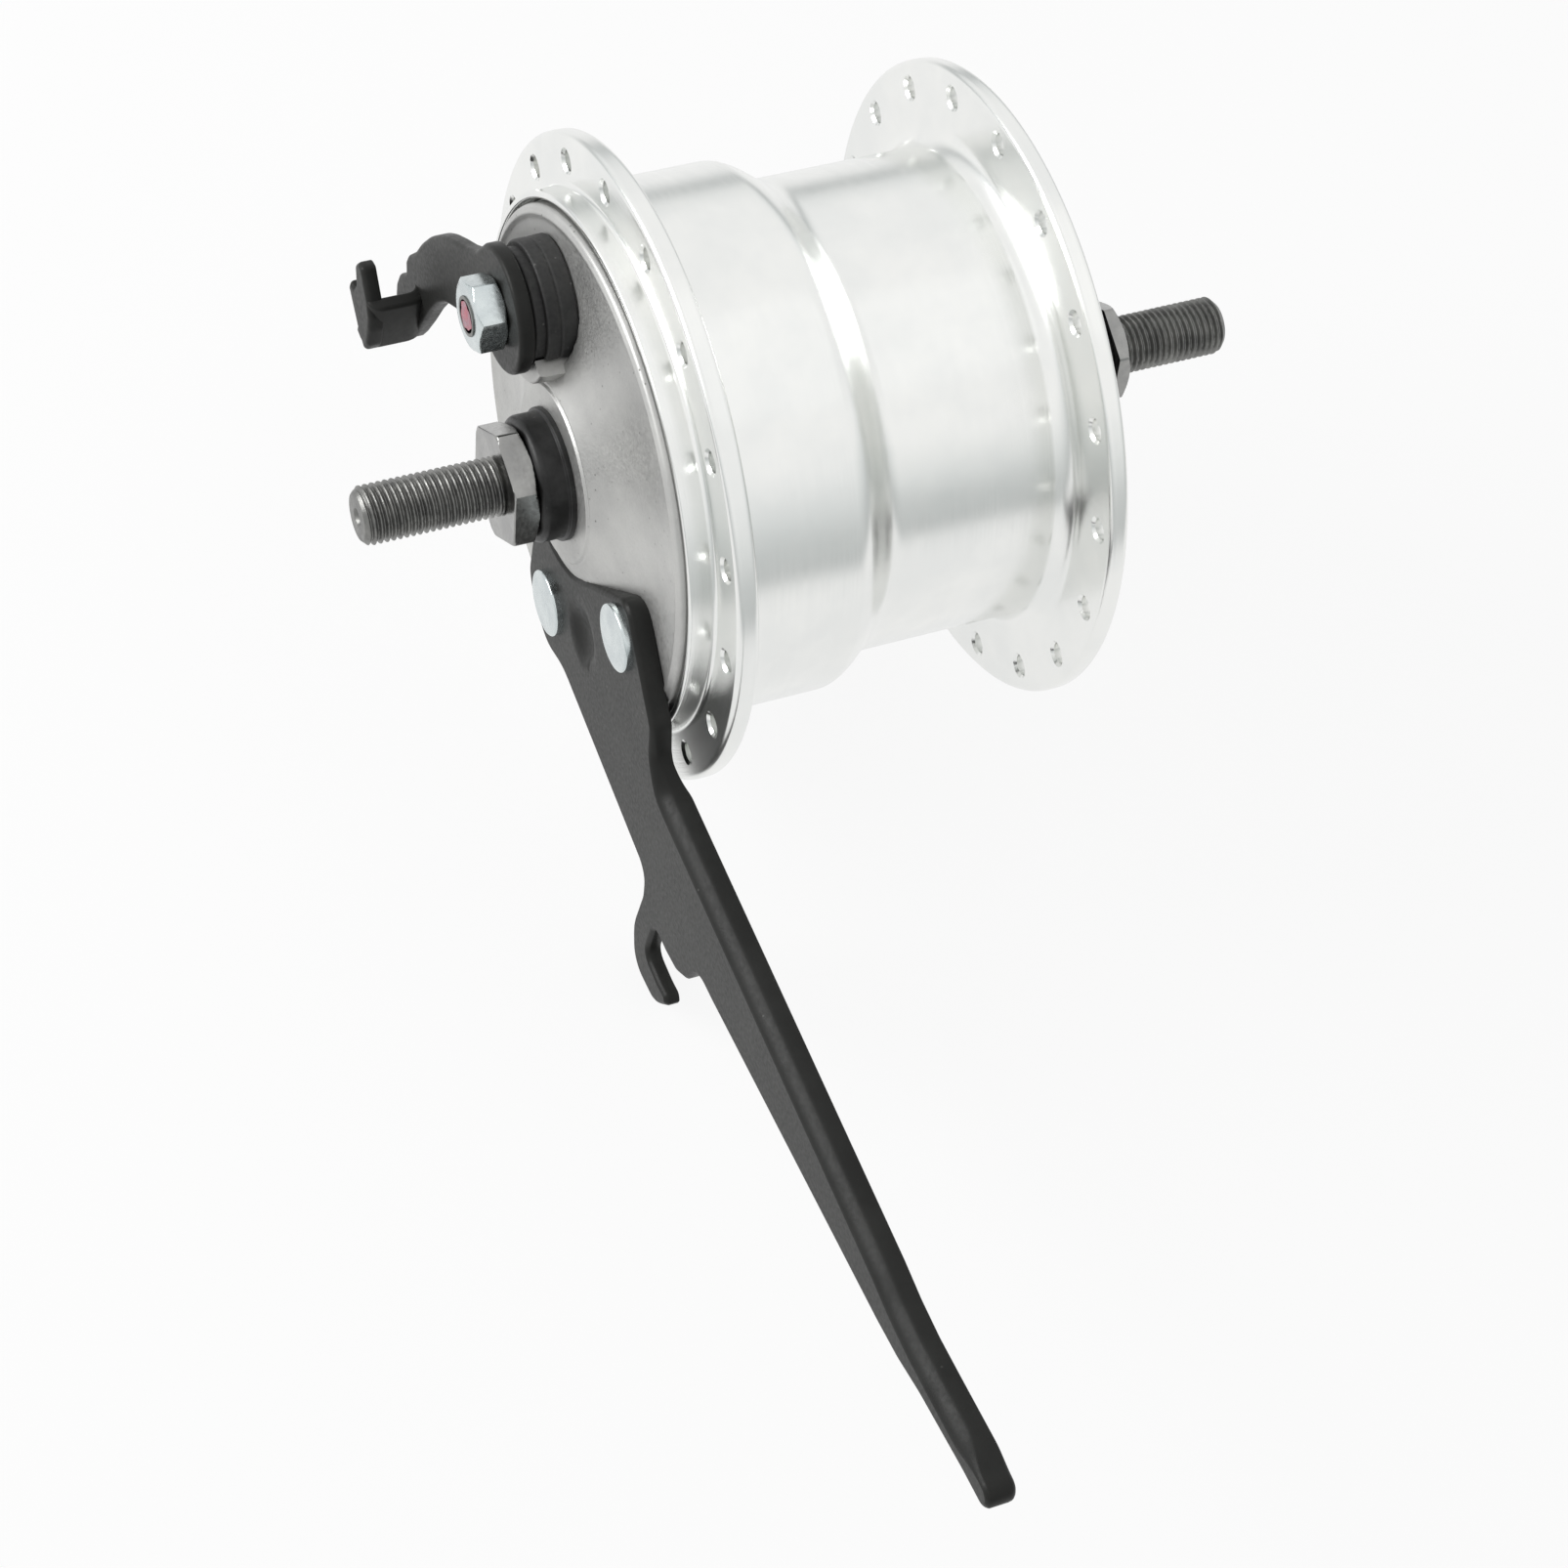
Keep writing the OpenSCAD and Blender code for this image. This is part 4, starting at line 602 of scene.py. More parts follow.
def armEdge(p):  # the upper edge of the strip is rounded more than the rest
    upper = p[:, 1] > np.interp(p[:, 0], *arm["midLine"])
    strip = ramp(p[:, 0], *arm["edgeFrom"]) * (1 - ramp(p[:, 0], *arm["edgeTo"])) * upper
    return arm["edge"] + (arm["stripEdge"] - arm["edge"]) * strip


def armBackEdge(p):  # the tip is rounded on its back as well
    return arm["backEdge"] + (arm["tipEdge"] - arm["backEdge"]) * ramp(p[:, 0], *arm["tipFrom"])


armShape = armOutline()
armParts = rounded(armShape, armFront, armBack, armEdge, armBackEdge, arm["spacing"], arm["fill"],
                   arm["bevel"])
makePiece("reactionArm", armParts, "fixed", "blackPaint", ["reaction_arm"])


# Rivets: flat heads with a small rounded edge, shanks and upset tails

rivet = {"columns": 72, "headR": 5.15, "headH": 1.2, "headEdge": 0.4, "dome": 0.12, "domeInset": 0.6,
         "sunk": 0.05, "shankR": 2.5, "tailR": 4.0, "tailH": 1.1, "tailFrom": -33.6, "tailRoot": 0.1,
         "tailEdge": 0.5}


def buildRivets():
    v = rivet
    headR, top, under = v["headR"], yArm - v["headH"], yArm + v["sunk"]
    tailEnd = v["tailFrom"] + v["tailH"]
    low, high = ends("arm_rivets")
    r = np.linspace(0, headR - v["domeInset"], 6)
    crown = np.column_stack([r, top + v["dome"] * (r / headR) ** 2])  # a slight dome: rise (1 - (r/R)^2)
    rest = softened([(*crown[-1], 0), (headR, top + v["dome"], v["headEdge"]), (headR, under, 0),
                     (v["shankR"], under, 0), (v["shankR"], v["tailFrom"], 0),
                     (v["tailR"], v["tailFrom"], v["tailRoot"]), (v["tailR"], tailEnd, v["tailEdge"]),
                     (0, tailEnd, 0)], closed=False)
    line = np.vstack([crown[:-1], holdEdges(rest, False)])
    spots = [(low[0] + headR, low[2] + headR), (high[0] - headR, high[2] - headR)]
    parts = [turned(line, v["columns"], centre=at, closeRows=False) for at in spots]
    makePiece("armRivets", parts, "fixed", "zincSteel", ["arm_rivets"])


buildRivets()


# Brake plate: a height field in polar steps. The pad falls on a parabola to a flat ring with a raised rim

plate = {
    "columns": 360, "bore": 4.48, "padR": 13.6, "padStep": 0.4, "padEdge": 0.45, "fallTo": 31.9,
    "face": plateFace, "rimR": 38.8, "rimRound": 0.7, "beadR": 37.5, "beadWidth": 0.55, "beadRise": 0.28,
    "inner": -33.6, "innerEdge": 0.4, "hub": (10.0, -32.6), "hubRoot": 0.5, "boreEdge": 0.3,
    "wallFrom": 0.1, "boreFrom": 0.3, "underArm": plateFace + 0.1,
    "seat": (9.7, 0.4), "armFit": (0.25, 0.5),  # start, width
    "bossR": 8.47, "bossTop": -41.2, "bossBore": 6.48, "bossIn": -28.9, "bossEdge": 0.3, "bossColumns": 96,
    "lug": (8.83, 11.4), "lugTop": -43.0, "lugHalf": 36, "lugEdge": 0.5, "lugInnerEdge": 0.2,
    "lugDraft": 0.35, "lugSunk": 0.6, "lugFoot": 1.2, "lugColumns": 40,
}


# Height of the front: the pad, a fall of face - drop (1 - k)^2, a bead on a bell curve and a rim on a
# quarter circle, cut flat round the cam and under the arm
def plateFront(x, z):
    p = plate
    r = np.hypot(x, z)
    fallFrom = p["padR"] + p["padStep"]
    k = np.clip((r - fallFrom) / (p["fallTo"] - fallFrom), 0, 1)
    fall = p["face"] - (p["face"] - yPad - p["padStep"]) * (1 - k) ** 2
    y = yPad + (fall - yPad) * ramp(r, p["padR"] - p["padEdge"] / 2, p["padEdge"])
    y = y - p["beadRise"] * np.exp(-((r - p["beadR"]) / p["beadWidth"]) ** 2)
    drop = np.clip(r - p["rimR"] + p["rimRound"], 0, p["rimRound"])
    y = y + p["rimRound"] - np.sqrt(p["rimRound"] ** 2 - drop ** 2)
    seat = 1 - ramp(np.hypot(x - camAt[0], z - camAt[1]), *p["seat"])
    y = y + (np.maximum(y, p["face"]) - y) * seat
    under = ramp(depthInside(np.column_stack([x, z]), armShape), *p["armFit"])
    return y + (p["underArm"] - y) * under


def buildPlate():
    p = plate
    pad, rim = p["padR"], p["rimR"]
    # rows of the height field, closest together over the pad's step and at the rim
    zones = [(p["bore"], pad - 0.5, 10), (pad - 0.4, pad + 0.6, 12), (pad + 0.9, rim - 2.5, 64),
             (rim - 2.3, rim, 20)]
    r = np.concatenate([np.linspace(*zone) for zone in zones])
    a = wholeTurn(p["columns"])
    x, z = r[:, None] * np.cos(a), r[:, None] * np.sin(a)
    front = np.stack([x, plateFront(x.ravel(), z.ravel()).reshape(x.shape), z], -1)
    backLine = softened([(rim, p["face"] + p["rimRound"] + p["wallFrom"], 0),
                         (rim, p["inner"], p["innerEdge"]),
                         (p["hub"][0], p["inner"], p["hubRoot"]), (*p["hub"], p["innerEdge"]),
                         (p["bore"], p["hub"][1], p["boreEdge"]),
                         (p["bore"], yPad + p["boreFrom"], 0)], closed=False)
    boss = ringSection(p["bossBore"], p["bossR"], p["bossTop"], p["bossIn"], p["bossEdge"])
    low, high = p["lug"]
    foot, sunk = low - p["lugFoot"], p["face"] + p["lugSunk"]
    lug = softened([(low, p["lugTop"], p["lugInnerEdge"]), (high, p["lugTop"], p["lugEdge"]),
                    (high + p["lugDraft"], sunk, 0), (foot, sunk, 0), (foot, p["bossTop"], 0),
                    (low, p["bossTop"], 0)])
    parts = [gridMesh(np.vstack([front, turnedRows(backLine, p["columns"])]), True, True),
             turned(holdEdges(boss), p["bossColumns"], centre=camAt),
             turned(holdEdges(lug), p["lugColumns"], centre=camAt, start=camTurn + 180 - p["lugHalf"],
                    sweep=2 * p["lugHalf"])]
    makePiece("brakePlate", parts, "fixed", "castAluminium", ["brake_plate"])


buildPlate()


# Axle: a plain middle between threads on a helix, r = root + depth * clipped triangle of (y / pitch + turn)

axle = {
    "columns": 72, "pitch": 1.0, "perPitch": 12, "major": 4.45, "minor": 3.88, "chamfer": 0.9,
    "centreHole": [(0, 2.4), (0.715, 1.92), (0.78, 1.0), (1.3, 0.12), (1.45, 0), (1.6, 0)],  # radius, depth
    "faceEdge": (0.3, 0.12), "neck": 3.95, "body": (6.0, -32.6, 40.5),
    "grooveR": 4.5, "grooveHalf": 1.3, "grooveFrom": 24.0, "grooveStep": 0.05,
    "threadStop": 0.3, "neckFrom": 0.4,  # behind a locknut's face
}
thread = {"flank": 1.35, "rootFlat": 0.2}  # slope and cut of the triangle, which leave a flat crest and root


# The thread's formula stands above; at the end r stays under a 45 degree chamfer
def threadWall(yEnd, yStop, shape, centre=(0, 0)):
    pitch = shape["pitch"]
    rows = int(abs(yStop - yEnd) / pitch * shape["perPitch"])
    y = np.linspace(yEnd, yStop, rows)[:, None]
    a = wholeTurn(shape["columns"])
    phase = (y / pitch + a / (2 * math.pi)) % 1
    crest = np.clip(thread["flank"] * (1 - np.abs(2 * phase - 1)) - thread["rootFlat"], 0, 1)
    r = shape["minor"] + (shape["major"] - shape["minor"]) * crest
    r = np.minimum(r, shape["major"] - shape["chamfer"] + np.abs(y - yEnd))
    return around(r, y, a, centre)


def buildAxle():
    q = axle
    low, high = yEnds("axle")
    columns, core, plain = q["columns"], q["neck"], q["major"]
    bodyR, y0, y1 = q["body"]
    stop, neckFrom = yLeftNut + q["threadStop"], yLeftNut + q["neckFrom"]
    endR = q["major"] - q["chamfer"]
    endLine = np.array(q["centreHole"] + [(endR - near, 0) for near in q["faceEdge"]])
    middle = np.array([(core, neckFrom), (core, ySpacer), (plain, ySpacer), (plain, y0), (bodyR, y0),
                       (bodyR, q["grooveFrom"])])
    rear = np.array([(bodyR, q["grooveFrom"] + q["grooveStep"]), (bodyR, y1)])
    grooved = turnedRows(holdEdges(rear, False), columns)
    x, z = grooved[..., 0], grooved[..., 2]
    inGroove = (x < 0) & (np.abs(z) < q["grooveHalf"]) & (np.hypot(x, z) > q["grooveR"])
    grooved[..., 0] = np.where(inGroove, -q["grooveR"], x)
    tail = [(plain, y1), (plain, yRightNut), (core, yRightNut), (core, -neckFrom)]
    rows = np.vstack([
        turnedRows(endLine + (0, low), columns), threadWall(low, stop, q),
        turnedRows(holdEdges(middle, False), columns), grooved, turnedRows(tail, columns),
        threadWall(high, -stop, q)[::-1], turnedRows((endLine * (1, -1) + (0, high))[::-1], columns)])
    makePiece("axleBar", [gridMesh(rows, False, True)], "fixed", "axleSteel", ["axle"],
              crease=50)


buildAxle()


# Nuts: af across flats, shares the ends of both cones in parts of af / 2, turn in degrees

nuts = {
    "leftLocknut": {"af": 16.5, "turn": 16, "shares": (1.1, 0.965), "bore": 3.98, "columns": 144},
    "rightLocknut": {"af": 14.0, "turn": 14, "shares": (0.965, 1.2), "bore": 3.98, "columns": 144},
    "leverNut": {"af": 10.0, "turn": 8, "shares": (0.965, 0.965), "bore": 2.6, "columns": 96},
}
nutForm = {"cone": 30, "bevel": 0.45, "bevelEdge": 0.15, "corner": 90, "coneDepth": 1.0, "firstRow": 0.12,
           "rowGap": 0.1, "faceEdges": (0.3, 0.12, 0.04), "backEdge": 0.15}


# The wall is the lowest of a hexagon and a cone on each side, r = min(af / 2 / cos, face + t / tan 30,
# back + (height - t) / tan 30), and a high power sum of the three cosines softens the hexagon's corners
def buildNut(name, yOut, yBack, body, finish, nodes, centre=(0, 0)):
    n, form = nuts[name], nutForm
    bore, columns, power, bevel = n["bore"], n["columns"], form["corner"], form["bevel"]
    a = wholeTurn(columns)
    spread = np.abs(np.cos(a[None] - np.radians(n["turn"] + 60 * np.arange(3))[:, None]))
    flat = n["af"] / 2 / (spread ** power).sum(0) ** (1 / power)
    sign, height = np.sign(yBack - yOut), abs(yBack - yOut)
    faceR, backR = n["af"] / 2 * n["shares"][0], n["af"] / 2 * n["shares"][1]
    deep, past = form["coneDepth"], form["coneDepth"] + form["rowGap"]
    t = np.unique(np.concatenate([np.linspace(form["firstRow"], deep, 10),
                                  np.linspace(past, height - past, 6),
                                  height - np.linspace(0, deep, 11)]))
    slope = 1 / math.tan(math.radians(form["cone"]))
    walls = np.minimum(flat, np.minimum(faceR + slope * t, backR + slope * (height - t))[:, None])
    rim = np.minimum(flat, faceR)
    face = [np.full(columns, bore + b) for b in (0, bevel * 0.5, bevel, bevel + form["bevelEdge"])]
    face += [rim - near for near in form["faceEdges"]]
    depth = [bevel, bevel * 0.5, 0, 0, 0, 0, form["faceEdges"][-1]]
    back = [np.minimum(flat, backR) - form["backEdge"], np.full(columns, bore)]
    r = np.vstack([face, walls, back])
    y = yOut + sign * np.concatenate([depth, t, [height, height]])
    makePiece(name, [gridMesh(around(r, y[:, None], a, centre), True, True)], body, finish, nodes)


buildNut("leftLocknut", yLeftNut, ySpacer, "fixed", "nutSteel", ["left_locknut"])
buildNut("rightLocknut", yRightNutFace, yRightNut, "fixed", "nutSteel", ["right_locknut"])
buildNut("leverNut", yLeverNut, yLeverNutBack, "lever", "zincSteel", ["lever_nut"], camAt)


# Spacer ring with a low flange, and the washer, a plain ring

spacer = {"columns": 144, "bore": 4.48, "boreEdge": 0.3, "ringR": 9.5, "edge": 1.1, "flangeR": 10.0,
          "flangeT": 0.9, "flangeEdge": 0.25, "backEdge": 0.1}
washer = {"columns": 120, "bore": 4.48, "outerR": 6.0, "edge": 0.2}


def buildSpacer():
    s = spacer
    yFlange = yPad - s["flangeT"]
    line = softened([(s["bore"], ySpacer, s["boreEdge"]), (s["ringR"], ySpacer, s["edge"]),
                     (s["ringR"], yFlange, s["flangeEdge"]), (s["flangeR"], yFlange, s["flangeEdge"]),
                     (s["flangeR"], yPad, s["backEdge"]), (s["bore"], yPad, s["backEdge"])], steps=8)
    makePiece("leftSpacer", [turned(holdEdges(line), s["columns"])], "fixed", "blackSteel",
              ["left_spacer"])


def buildWasher():
    line = ringSection(washer["bore"], washer["outerR"], *yEnds("right_washer"), washer["edge"])
    makePiece("rightWasher", [turned(holdEdges(line), washer["columns"])], "fixed", "blackSteel",
              ["right_washer"])


buildSpacer()
buildWasher()


# Rubber boot: a skirt in two steps, open towards the axle, under a narrower collar

boot = {
    "columns": 120, "skirtR": 9.4, "innerR": 8.5, "edge": 0.4, "low": -36.9, "lowEdge": 0.3, "flare": 0.1,
    "cut": 40, "seam": -39.4, "seamHalf": 0.3, "seamDepth": 0.14, "seamEdge": 0.1,
    "disc": -41.6, "discT": 0.5, "discLap": 0.6, "top": -43.2, "collarR": 8.5, "collarEdge": 0.5,
    "collarSunk": 0.3, "bore": 5.3, "boreEdge": 0.2,
}


def buildBoot():
    b = boot
    skirtR, innerR, seam, half = b["skirtR"], b["innerR"], b["seam"], b["seamHalf"]
    wall = softened([(innerR - b["discLap"], b["disc"], 0), (skirtR, b["disc"], b["edge"]),
                     (skirtR, seam - half, b["seamEdge"]), (skirtR - b["seamDepth"], seam, b["seamEdge"]),
                     (skirtR, seam + half, b["seamEdge"]), (skirtR + b["flare"], b["low"], b["lowEdge"]),
                     (innerR, b["low"], b["boreEdge"]), (innerR, b["disc"] + b["discT"], 0)])
    skirt = turned(holdEdges(wall), b["columns"], centre=camAt, start=camTurn + 180 + b["cut"],
                   sweep=360 - 2 * b["cut"])
    collar = ringSection(b["bore"], b["collarR"], b["top"], b["disc"] + b["collarSunk"],
                         [b["boreEdge"], b["collarEdge"], 0, 0])
    parts = [skirt, turned(holdEdges(collar), b["columns"], centre=camAt)]
    makePiece("camBoot", parts, "fixed", "blackRubber", ["cam_boot"])


buildBoot()


# Brake lever: a plate with the boss and the far ear, the bent sheet of the fork, and the near ear with its
# tongue. Corners are places from the cam's axis, each with its radius

lever = {
    "bossR": 9.6, "bossArc": (-88, 144, 44), "plate": 2.4, "edge": 0.7, "backEdge": 0.4, "earEdge": 0.8,
    "earBackEdge": 0.3, "armMesh": (0.5, 1.2), "earMesh": (0.35, 0.8),  # spacing, fill
    "arm": [(-8, 5.3, 0), (-10.2, 0.6, 6), (-13.8, -3.3, 8), (-17.1, -6.3, 20), (-20.5, -9.6, 20),
            (-23, -12.6, 20), (-25.4, -16.2, 20), (-27.8, -21, 20), (-29.3, -25.2, 6), (-31.5, -29, 0.8),
            (-31.9, -30.8, 0.6), (-31.1, -33, 0.6), (-33.4, -36.4, 0.8), (-33.9, -39.2, 0.8),
            (-33.4, -41.8, 0.8), (-26.2, -43.9, 1.2), (-24.5, -40.1, 6), (-22.4, -34.3, 8),
            (-20.7, -29.0, 10), (-18.9, -24.6, 10), (-16.5, -20.9, 8), (-11.3, -16.2, 10), (0, -9.6, 0)],
    "ear": [(-32, -29.2, 0.8), (-31, -27.4, 0.8), (-29.4, -26.8, 0.8), (-27.6, -28.4, 2), (-25.4, -30.3, 2),
            (-23.9, -32.4, 2), (-23.3, -35, 3), (-23.2, -38.8, 1.2), (-24.0, -41.2, 0.8), (-27.5, -40.0, 2),
            (-30.6, -38, 2), (-33.2, -36.3, 0.7), (-32.9, -34.6, 0.5), (-31.2, -34.4, 0.5),
            (-30.6, -32.4, 0.8)],
    "bendFrom": -30.5, "webX": -24.8, "farBend": 3.8, "nearBend": 1.5, "bendTo": -27.4,
    "bendZ": (-40.7, -30.3), "sheetEdge": 0.6,
}


# Mid-line of the bent sheet in X and Y, thickened along its normal. Towards both ends in Z the half
# thickness falls on a quarter circle, h = half - edge (1 - sin t) at z = end + edge (1 - cos t)
def bentSheet(yFar, yNear):
    v = lever
    line = softened([(v["bendFrom"], yFar, 0), (v["webX"], yFar, v["farBend"]),
                     (v["webX"], yNear, v["nearBend"]), (v["bendTo"], yNear, 0)], closed=False, steps=10)
    along = np.gradient(line, axis=0)
    normal = np.column_stack([-along[:, 1], along[:, 0]]) / np.linalg.norm(along, axis=1)[:, None]
    t = np.linspace(0, math.pi / 2, 6)
    rise, fall = v["sheetEdge"] * (1 - np.cos(t)), v["sheetEdge"] * (1 - np.sin(t))
    z = np.concatenate([v["bendZ"][0] + rise, v["bendZ"][1] - rise[::-1]]) + camAt[1]
    half = v["plate"] / 2 - np.concatenate([fall, fall[::-1]])
    loops = [np.vstack([line + h * normal, (line - h * normal)[::-1]]) + (camAt[0], 0) for h in half]
    grid = np.stack([np.column_stack([q, np.full(len(q), at)]) for q, at in zip(loops, z)])
    points, faces = gridMesh(grid, False, True)
    n = 2 * len(line)
    i = np.arange(len(line) - 1)
    for first in (0, n * (len(z) - 1)):  # quads across the sheet close both ends
        faces += (first + np.column_stack([i, i + 1, n - 2 - i, n - 1 - i])).tolist()
    return points, faces


def buildLever():
    v = lever
    thick = v["plate"]
    a = np.radians(np.linspace(*v["bossArc"]))  # the boss's free side, from the lower edge to the upper one
    boss = np.column_stack([v["bossR"] * np.cos(a), v["bossR"] * np.sin(a), np.zeros(len(a))])
    armLine = softened(np.vstack([v["arm"], boss]), steps=8) + camAt
    earLine = softened(v["ear"]) + camAt
    parts = rounded(armLine, flatAt(yLeverBack - thick), flatAt(yLeverBack), v["edge"], v["backEdge"],
                    *v["armMesh"])
    parts += rounded(earLine, flatAt(yLever), flatAt(yLever + thick), v["earEdge"], v["earBackEdge"],
                     *v["earMesh"])
    parts.append(bentSheet(yLeverBack - thick / 2, yLever + thick / 2))
    makePiece("brakeLever", parts, "lever", "blackPaint", ["brake_lever"])


buildLever()


# Stud end of the cam spindle: a short thread, with a dab of lock paint on its face

stud = {"columns": 48, "pitch": 1.0, "perPitch": 10, "major": 3.0, "minor": 2.55, "chamfer": 0.5,
        "proud": 0.2, "sunk": 1.2, "faceRings": (0, 1.6, 2.4)}
dab = {"columns": 48, "rings": 7, "radius": 2.3, "rise": 0.16, "waves": ((0.09, 3, 0.6), (0.05, 7, 0)),
       "lift": 0.02, "skirt": 0.1, "foot": 0.12}
studTop = yLeverNut - stud["proud"]


def buildStud():
    low = yLeverNut + stud["sunk"]
    face = turnedRows([(r, studTop) for r in stud["faceRings"]], stud["columns"], camAt)
    wall = threadWall(studTop, low, stud, camAt)
    end = turnedRows([(0, low)], stud["columns"], camAt)
    makePiece("studEnd", [gridMesh(np.vstack([face, wall, end]), False, True)], "lever", "axleSteel",
              [])


def buildDab():  # a low dome whose rim wanders: radius times (1 + small waves), rise (1 - r^2)
    a = wholeTurn(dab["columns"])
    wander = 1 + sum(size * np.sin(count * a + shift) for size, count, shift in dab["waves"])
    r = np.linspace(0, 1, dab["rings"])[:, None]
    y = studTop - dab["rise"] * (1 - r ** 2) + dab["lift"]
    dome = around(dab["radius"] * r * wander, y, a, camAt)
    base = dome[-1:] + (0, dab["skirt"], 0)
    foot = around(np.zeros((1, 1)), studTop + dab["foot"], a, camAt)
    makePiece("lockPaint", [gridMesh(np.vstack([dome, base, foot]), False, True)], "lever", "lockPaint",
              [])


buildStud()
buildDab()


# Studio: a pale floor under the hook, with painted shade that greys it with distance, soft boxes, and the
# photograph's camera

studio = {
    "floor": (0.93, 0.93, 0.93), "floorSize": 4.0, "drop": 0.5, "floorGlow": 0.88, "floorRough": 0.9,
    # the middle, the fade distances and the far colour paint shade onto the floor away from its middle
    "floorSpecular": 0.1, "middle": (0.033, -0.007), "fade": (0.26, 0.60), "farFloor": (0.55, 0.57, 0.57),
    "camera": (287.242, -210.152, 494.341), "right": (0.35554, 0.91800, 0.17570),
    "up": (-0.84511, 0.23545, 0.47996), "back": (0.39923, -0.31913, 0.85952), "lens": 93.49, "sensor": 36,
    "lamps": [("leftBox", (-0.42, -0.84, 0.34), 0.9, 0.5, 5.5),  # name, way, distance, size, power
              ("topBox", (0.05, 0.25, 0.97), 1.0, 0.8, 0.15)],
    "world": 0.58, "greySide": -0.1,
    "sky": [(0.45, (0.60, 0.62, 0.62)), (0.56, (0.80, 0.82, 0.82)), (0.70, (1, 1, 1))],
}


# Shows one shader to rays from the camera, metal and glass, by a share, and the other one to all other rays
def showToSeenRays(tree, hidden, seen, output, share=1.0):
    link = tree.links.new
    path = addNode(tree, "ShaderNodeLightPath")
    either = addNode(tree, "ShaderNodeMath", operation="MAXIMUM")
    anySeen = addNode(tree, "ShaderNodeMath", operation="MAXIMUM")
    part = addNode(tree, "ShaderNodeMath", {1: share}, operation="MULTIPLY")
    mix = addNode(tree, "ShaderNodeMixShader")
    link(path.outputs["Is Camera Ray"], either.inputs[0])
    link(path.outputs["Is Glossy Ray"], either.inputs[1])
    link(either.outputs[0], anySeen.inputs[0])
    link(path.outputs["Is Transmission Ray"], anySeen.inputs[1])
    link(anySeen.outputs[0], part.inputs[0])
    link(part.outputs[0], mix.inputs[0])
    link(hidden.outputs[0], mix.inputs[1])
    link(seen.outputs[0], mix.inputs[2])
    link(mix.outputs[0], tree.nodes[output].inputs["Surface"])


def placed(right, up, back, at):  # matrix of an object from its axes and its place
    return Matrix(np.vstack([np.column_stack([right, up, back, at]), [0, 0, 0, 1]]).tolist())


def buildFloor(floorZ):
    t = studio
    half = t["floorSize"] / 2
    corners = [(-half, -half, floorZ), (half, -half, floorZ), (half, half, floorZ), (-half, half, floorZ)]
    mesh = bpy.data.meshes.new("floor")
    mesh.from_pydata(corners, [], [(0, 1, 2, 3)])
    plane = addObject("floor", mesh)
    material = bpy.data.materials.new("floorFinish")
    material.use_nodes = True
    mesh.materials.append(material)
    tree = material.node_tree
    link = tree.links.new
    shader = tree.nodes["Principled BSDF"]
    shader.inputs["Roughness"].default_value = t["floorRough"]
    shader.inputs["Specular IOR Level"].default_value = t["floorSpecular"]
    glow = addNode(tree, "ShaderNodeEmission", {"Strength": 1.0})
    # Painted shade: the floor's colour and its glow darken from the middle outwards, towards the grey far
    # colour
    away = addNode(tree, "ShaderNodeVectorMath", {1: (*t["middle"], floorZ)}, operation="DISTANCE")
    fade = addNode(tree, "ShaderNodeMapRange", {"From Min": t["fade"][0], "From Max": t["fade"][1]},
                   interpolation_type="SMOOTHSTEP")
    link(addNode(tree, "ShaderNodeTexCoord").outputs["Object"], away.inputs[0])
    link(away.outputs["Value"], fade.inputs["Value"])
    for near, sink in ((t["floor"], shader.inputs["Base Color"]), ((1, 1, 1), glow.inputs["Color"])):
        tone = addNode(tree, "ShaderNodeMix", {6: (*near, 1), 7: (*t["farFloor"], 1)}, data_type="RGBA")
        link(fade.outputs["Result"], tone.inputs[0])
        link(tone.outputs[2], sink)
    showToSeenRays(tree, shader, glow, "Material Output", t["floorGlow"])


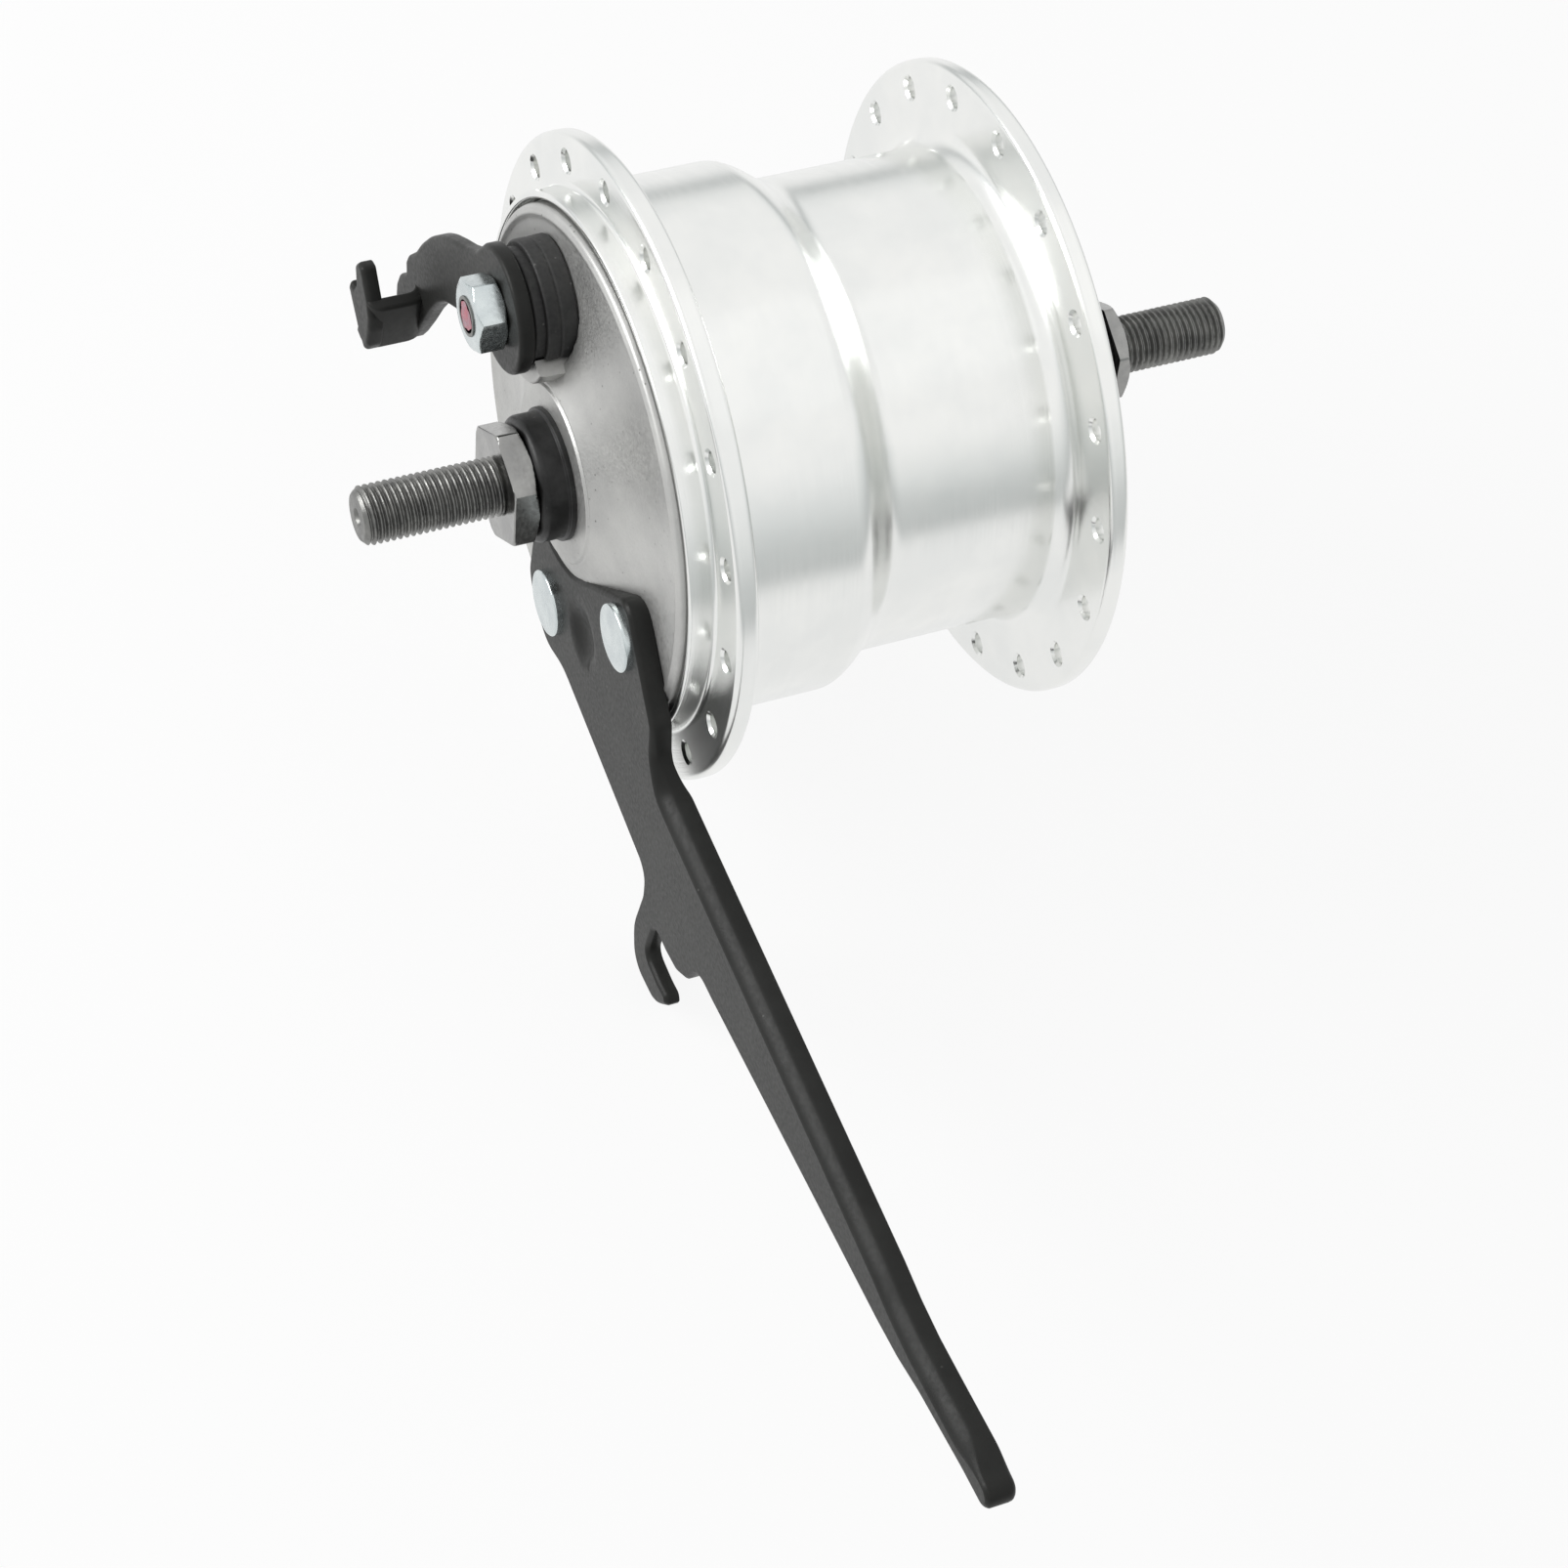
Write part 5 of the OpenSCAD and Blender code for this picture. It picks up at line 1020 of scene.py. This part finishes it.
def addLamps():
    for name, way, distance, size, power in studio["lamps"]:
        data = bpy.data.lights.new(name, "AREA")
        data.shape, data.size, data.size_y, data.energy = "RECTANGLE", size, size, power
        way = np.array(way) / np.linalg.norm(way)
        side = np.cross((0, 0, 1), way)
        side = side / np.linalg.norm(side)
        addObject(name, data).matrix_world = placed(side, np.cross(way, side), way, way * distance)


# The room that is seen: white above and greyer towards the horizon, more so on the arm's side
def buildSky():
    t = studio
    world = bpy.data.worlds.new("studioWorld")
    bpy.context.scene.world = world
    world.use_nodes = True
    tree = world.node_tree
    link = tree.links.new
    plain = tree.nodes["Background"]
    plain.inputs["Strength"].default_value = t["world"]
    plain.inputs["Color"].default_value = (1, 1, 1, 1)
    way = addNode(tree, "ShaderNodeSeparateXYZ")
    height = addNode(tree, "ShaderNodeMapRange", {"From Min": -1.0, "From Max": 1.0})
    lean = addNode(tree, "ShaderNodeMath", {1: t["greySide"]}, operation="MULTIPLY_ADD")
    tones = addNode(tree, "ShaderNodeValToRGB")
    while len(tones.color_ramp.elements) < len(t["sky"]):
        tones.color_ramp.elements.new(0.5)
    for element, (place, colour) in zip(tones.color_ramp.elements, t["sky"]):
        element.position, element.color = place, (*colour, 1)
    seen = addNode(tree, "ShaderNodeBackground", {"Strength": 1.0})
    link(addNode(tree, "ShaderNodeTexCoord").outputs["Generated"], way.inputs[0])
    link(way.outputs["Z"], height.inputs["Value"])
    link(way.outputs["X"], lean.inputs[0])
    link(height.outputs["Result"], lean.inputs[2])
    link(lean.outputs[0], tones.inputs["Fac"])
    link(tones.outputs["Color"], seen.inputs["Color"])
    showToSeenRays(tree, plain, seen, "World Output")


def addCamera():
    t = studio
    data = bpy.data.cameras.new("photoCamera")
    data.lens, data.sensor_width = t["lens"], t["sensor"]
    camera = addObject("photoCamera", data)
    camera.matrix_world = placed(t["right"], t["up"], t["back"], np.array(t["camera"]) * mm)
    bpy.context.scene.camera = camera
    bpy.context.scene.view_settings.view_transform = "Standard"


floorZ = cadBox[0][2] - studio["drop"] * mm
buildFloor(floorZ)
addLamps()
buildSky()
addCamera()
print("studio set, floor at", round(floorZ / mm, 2))
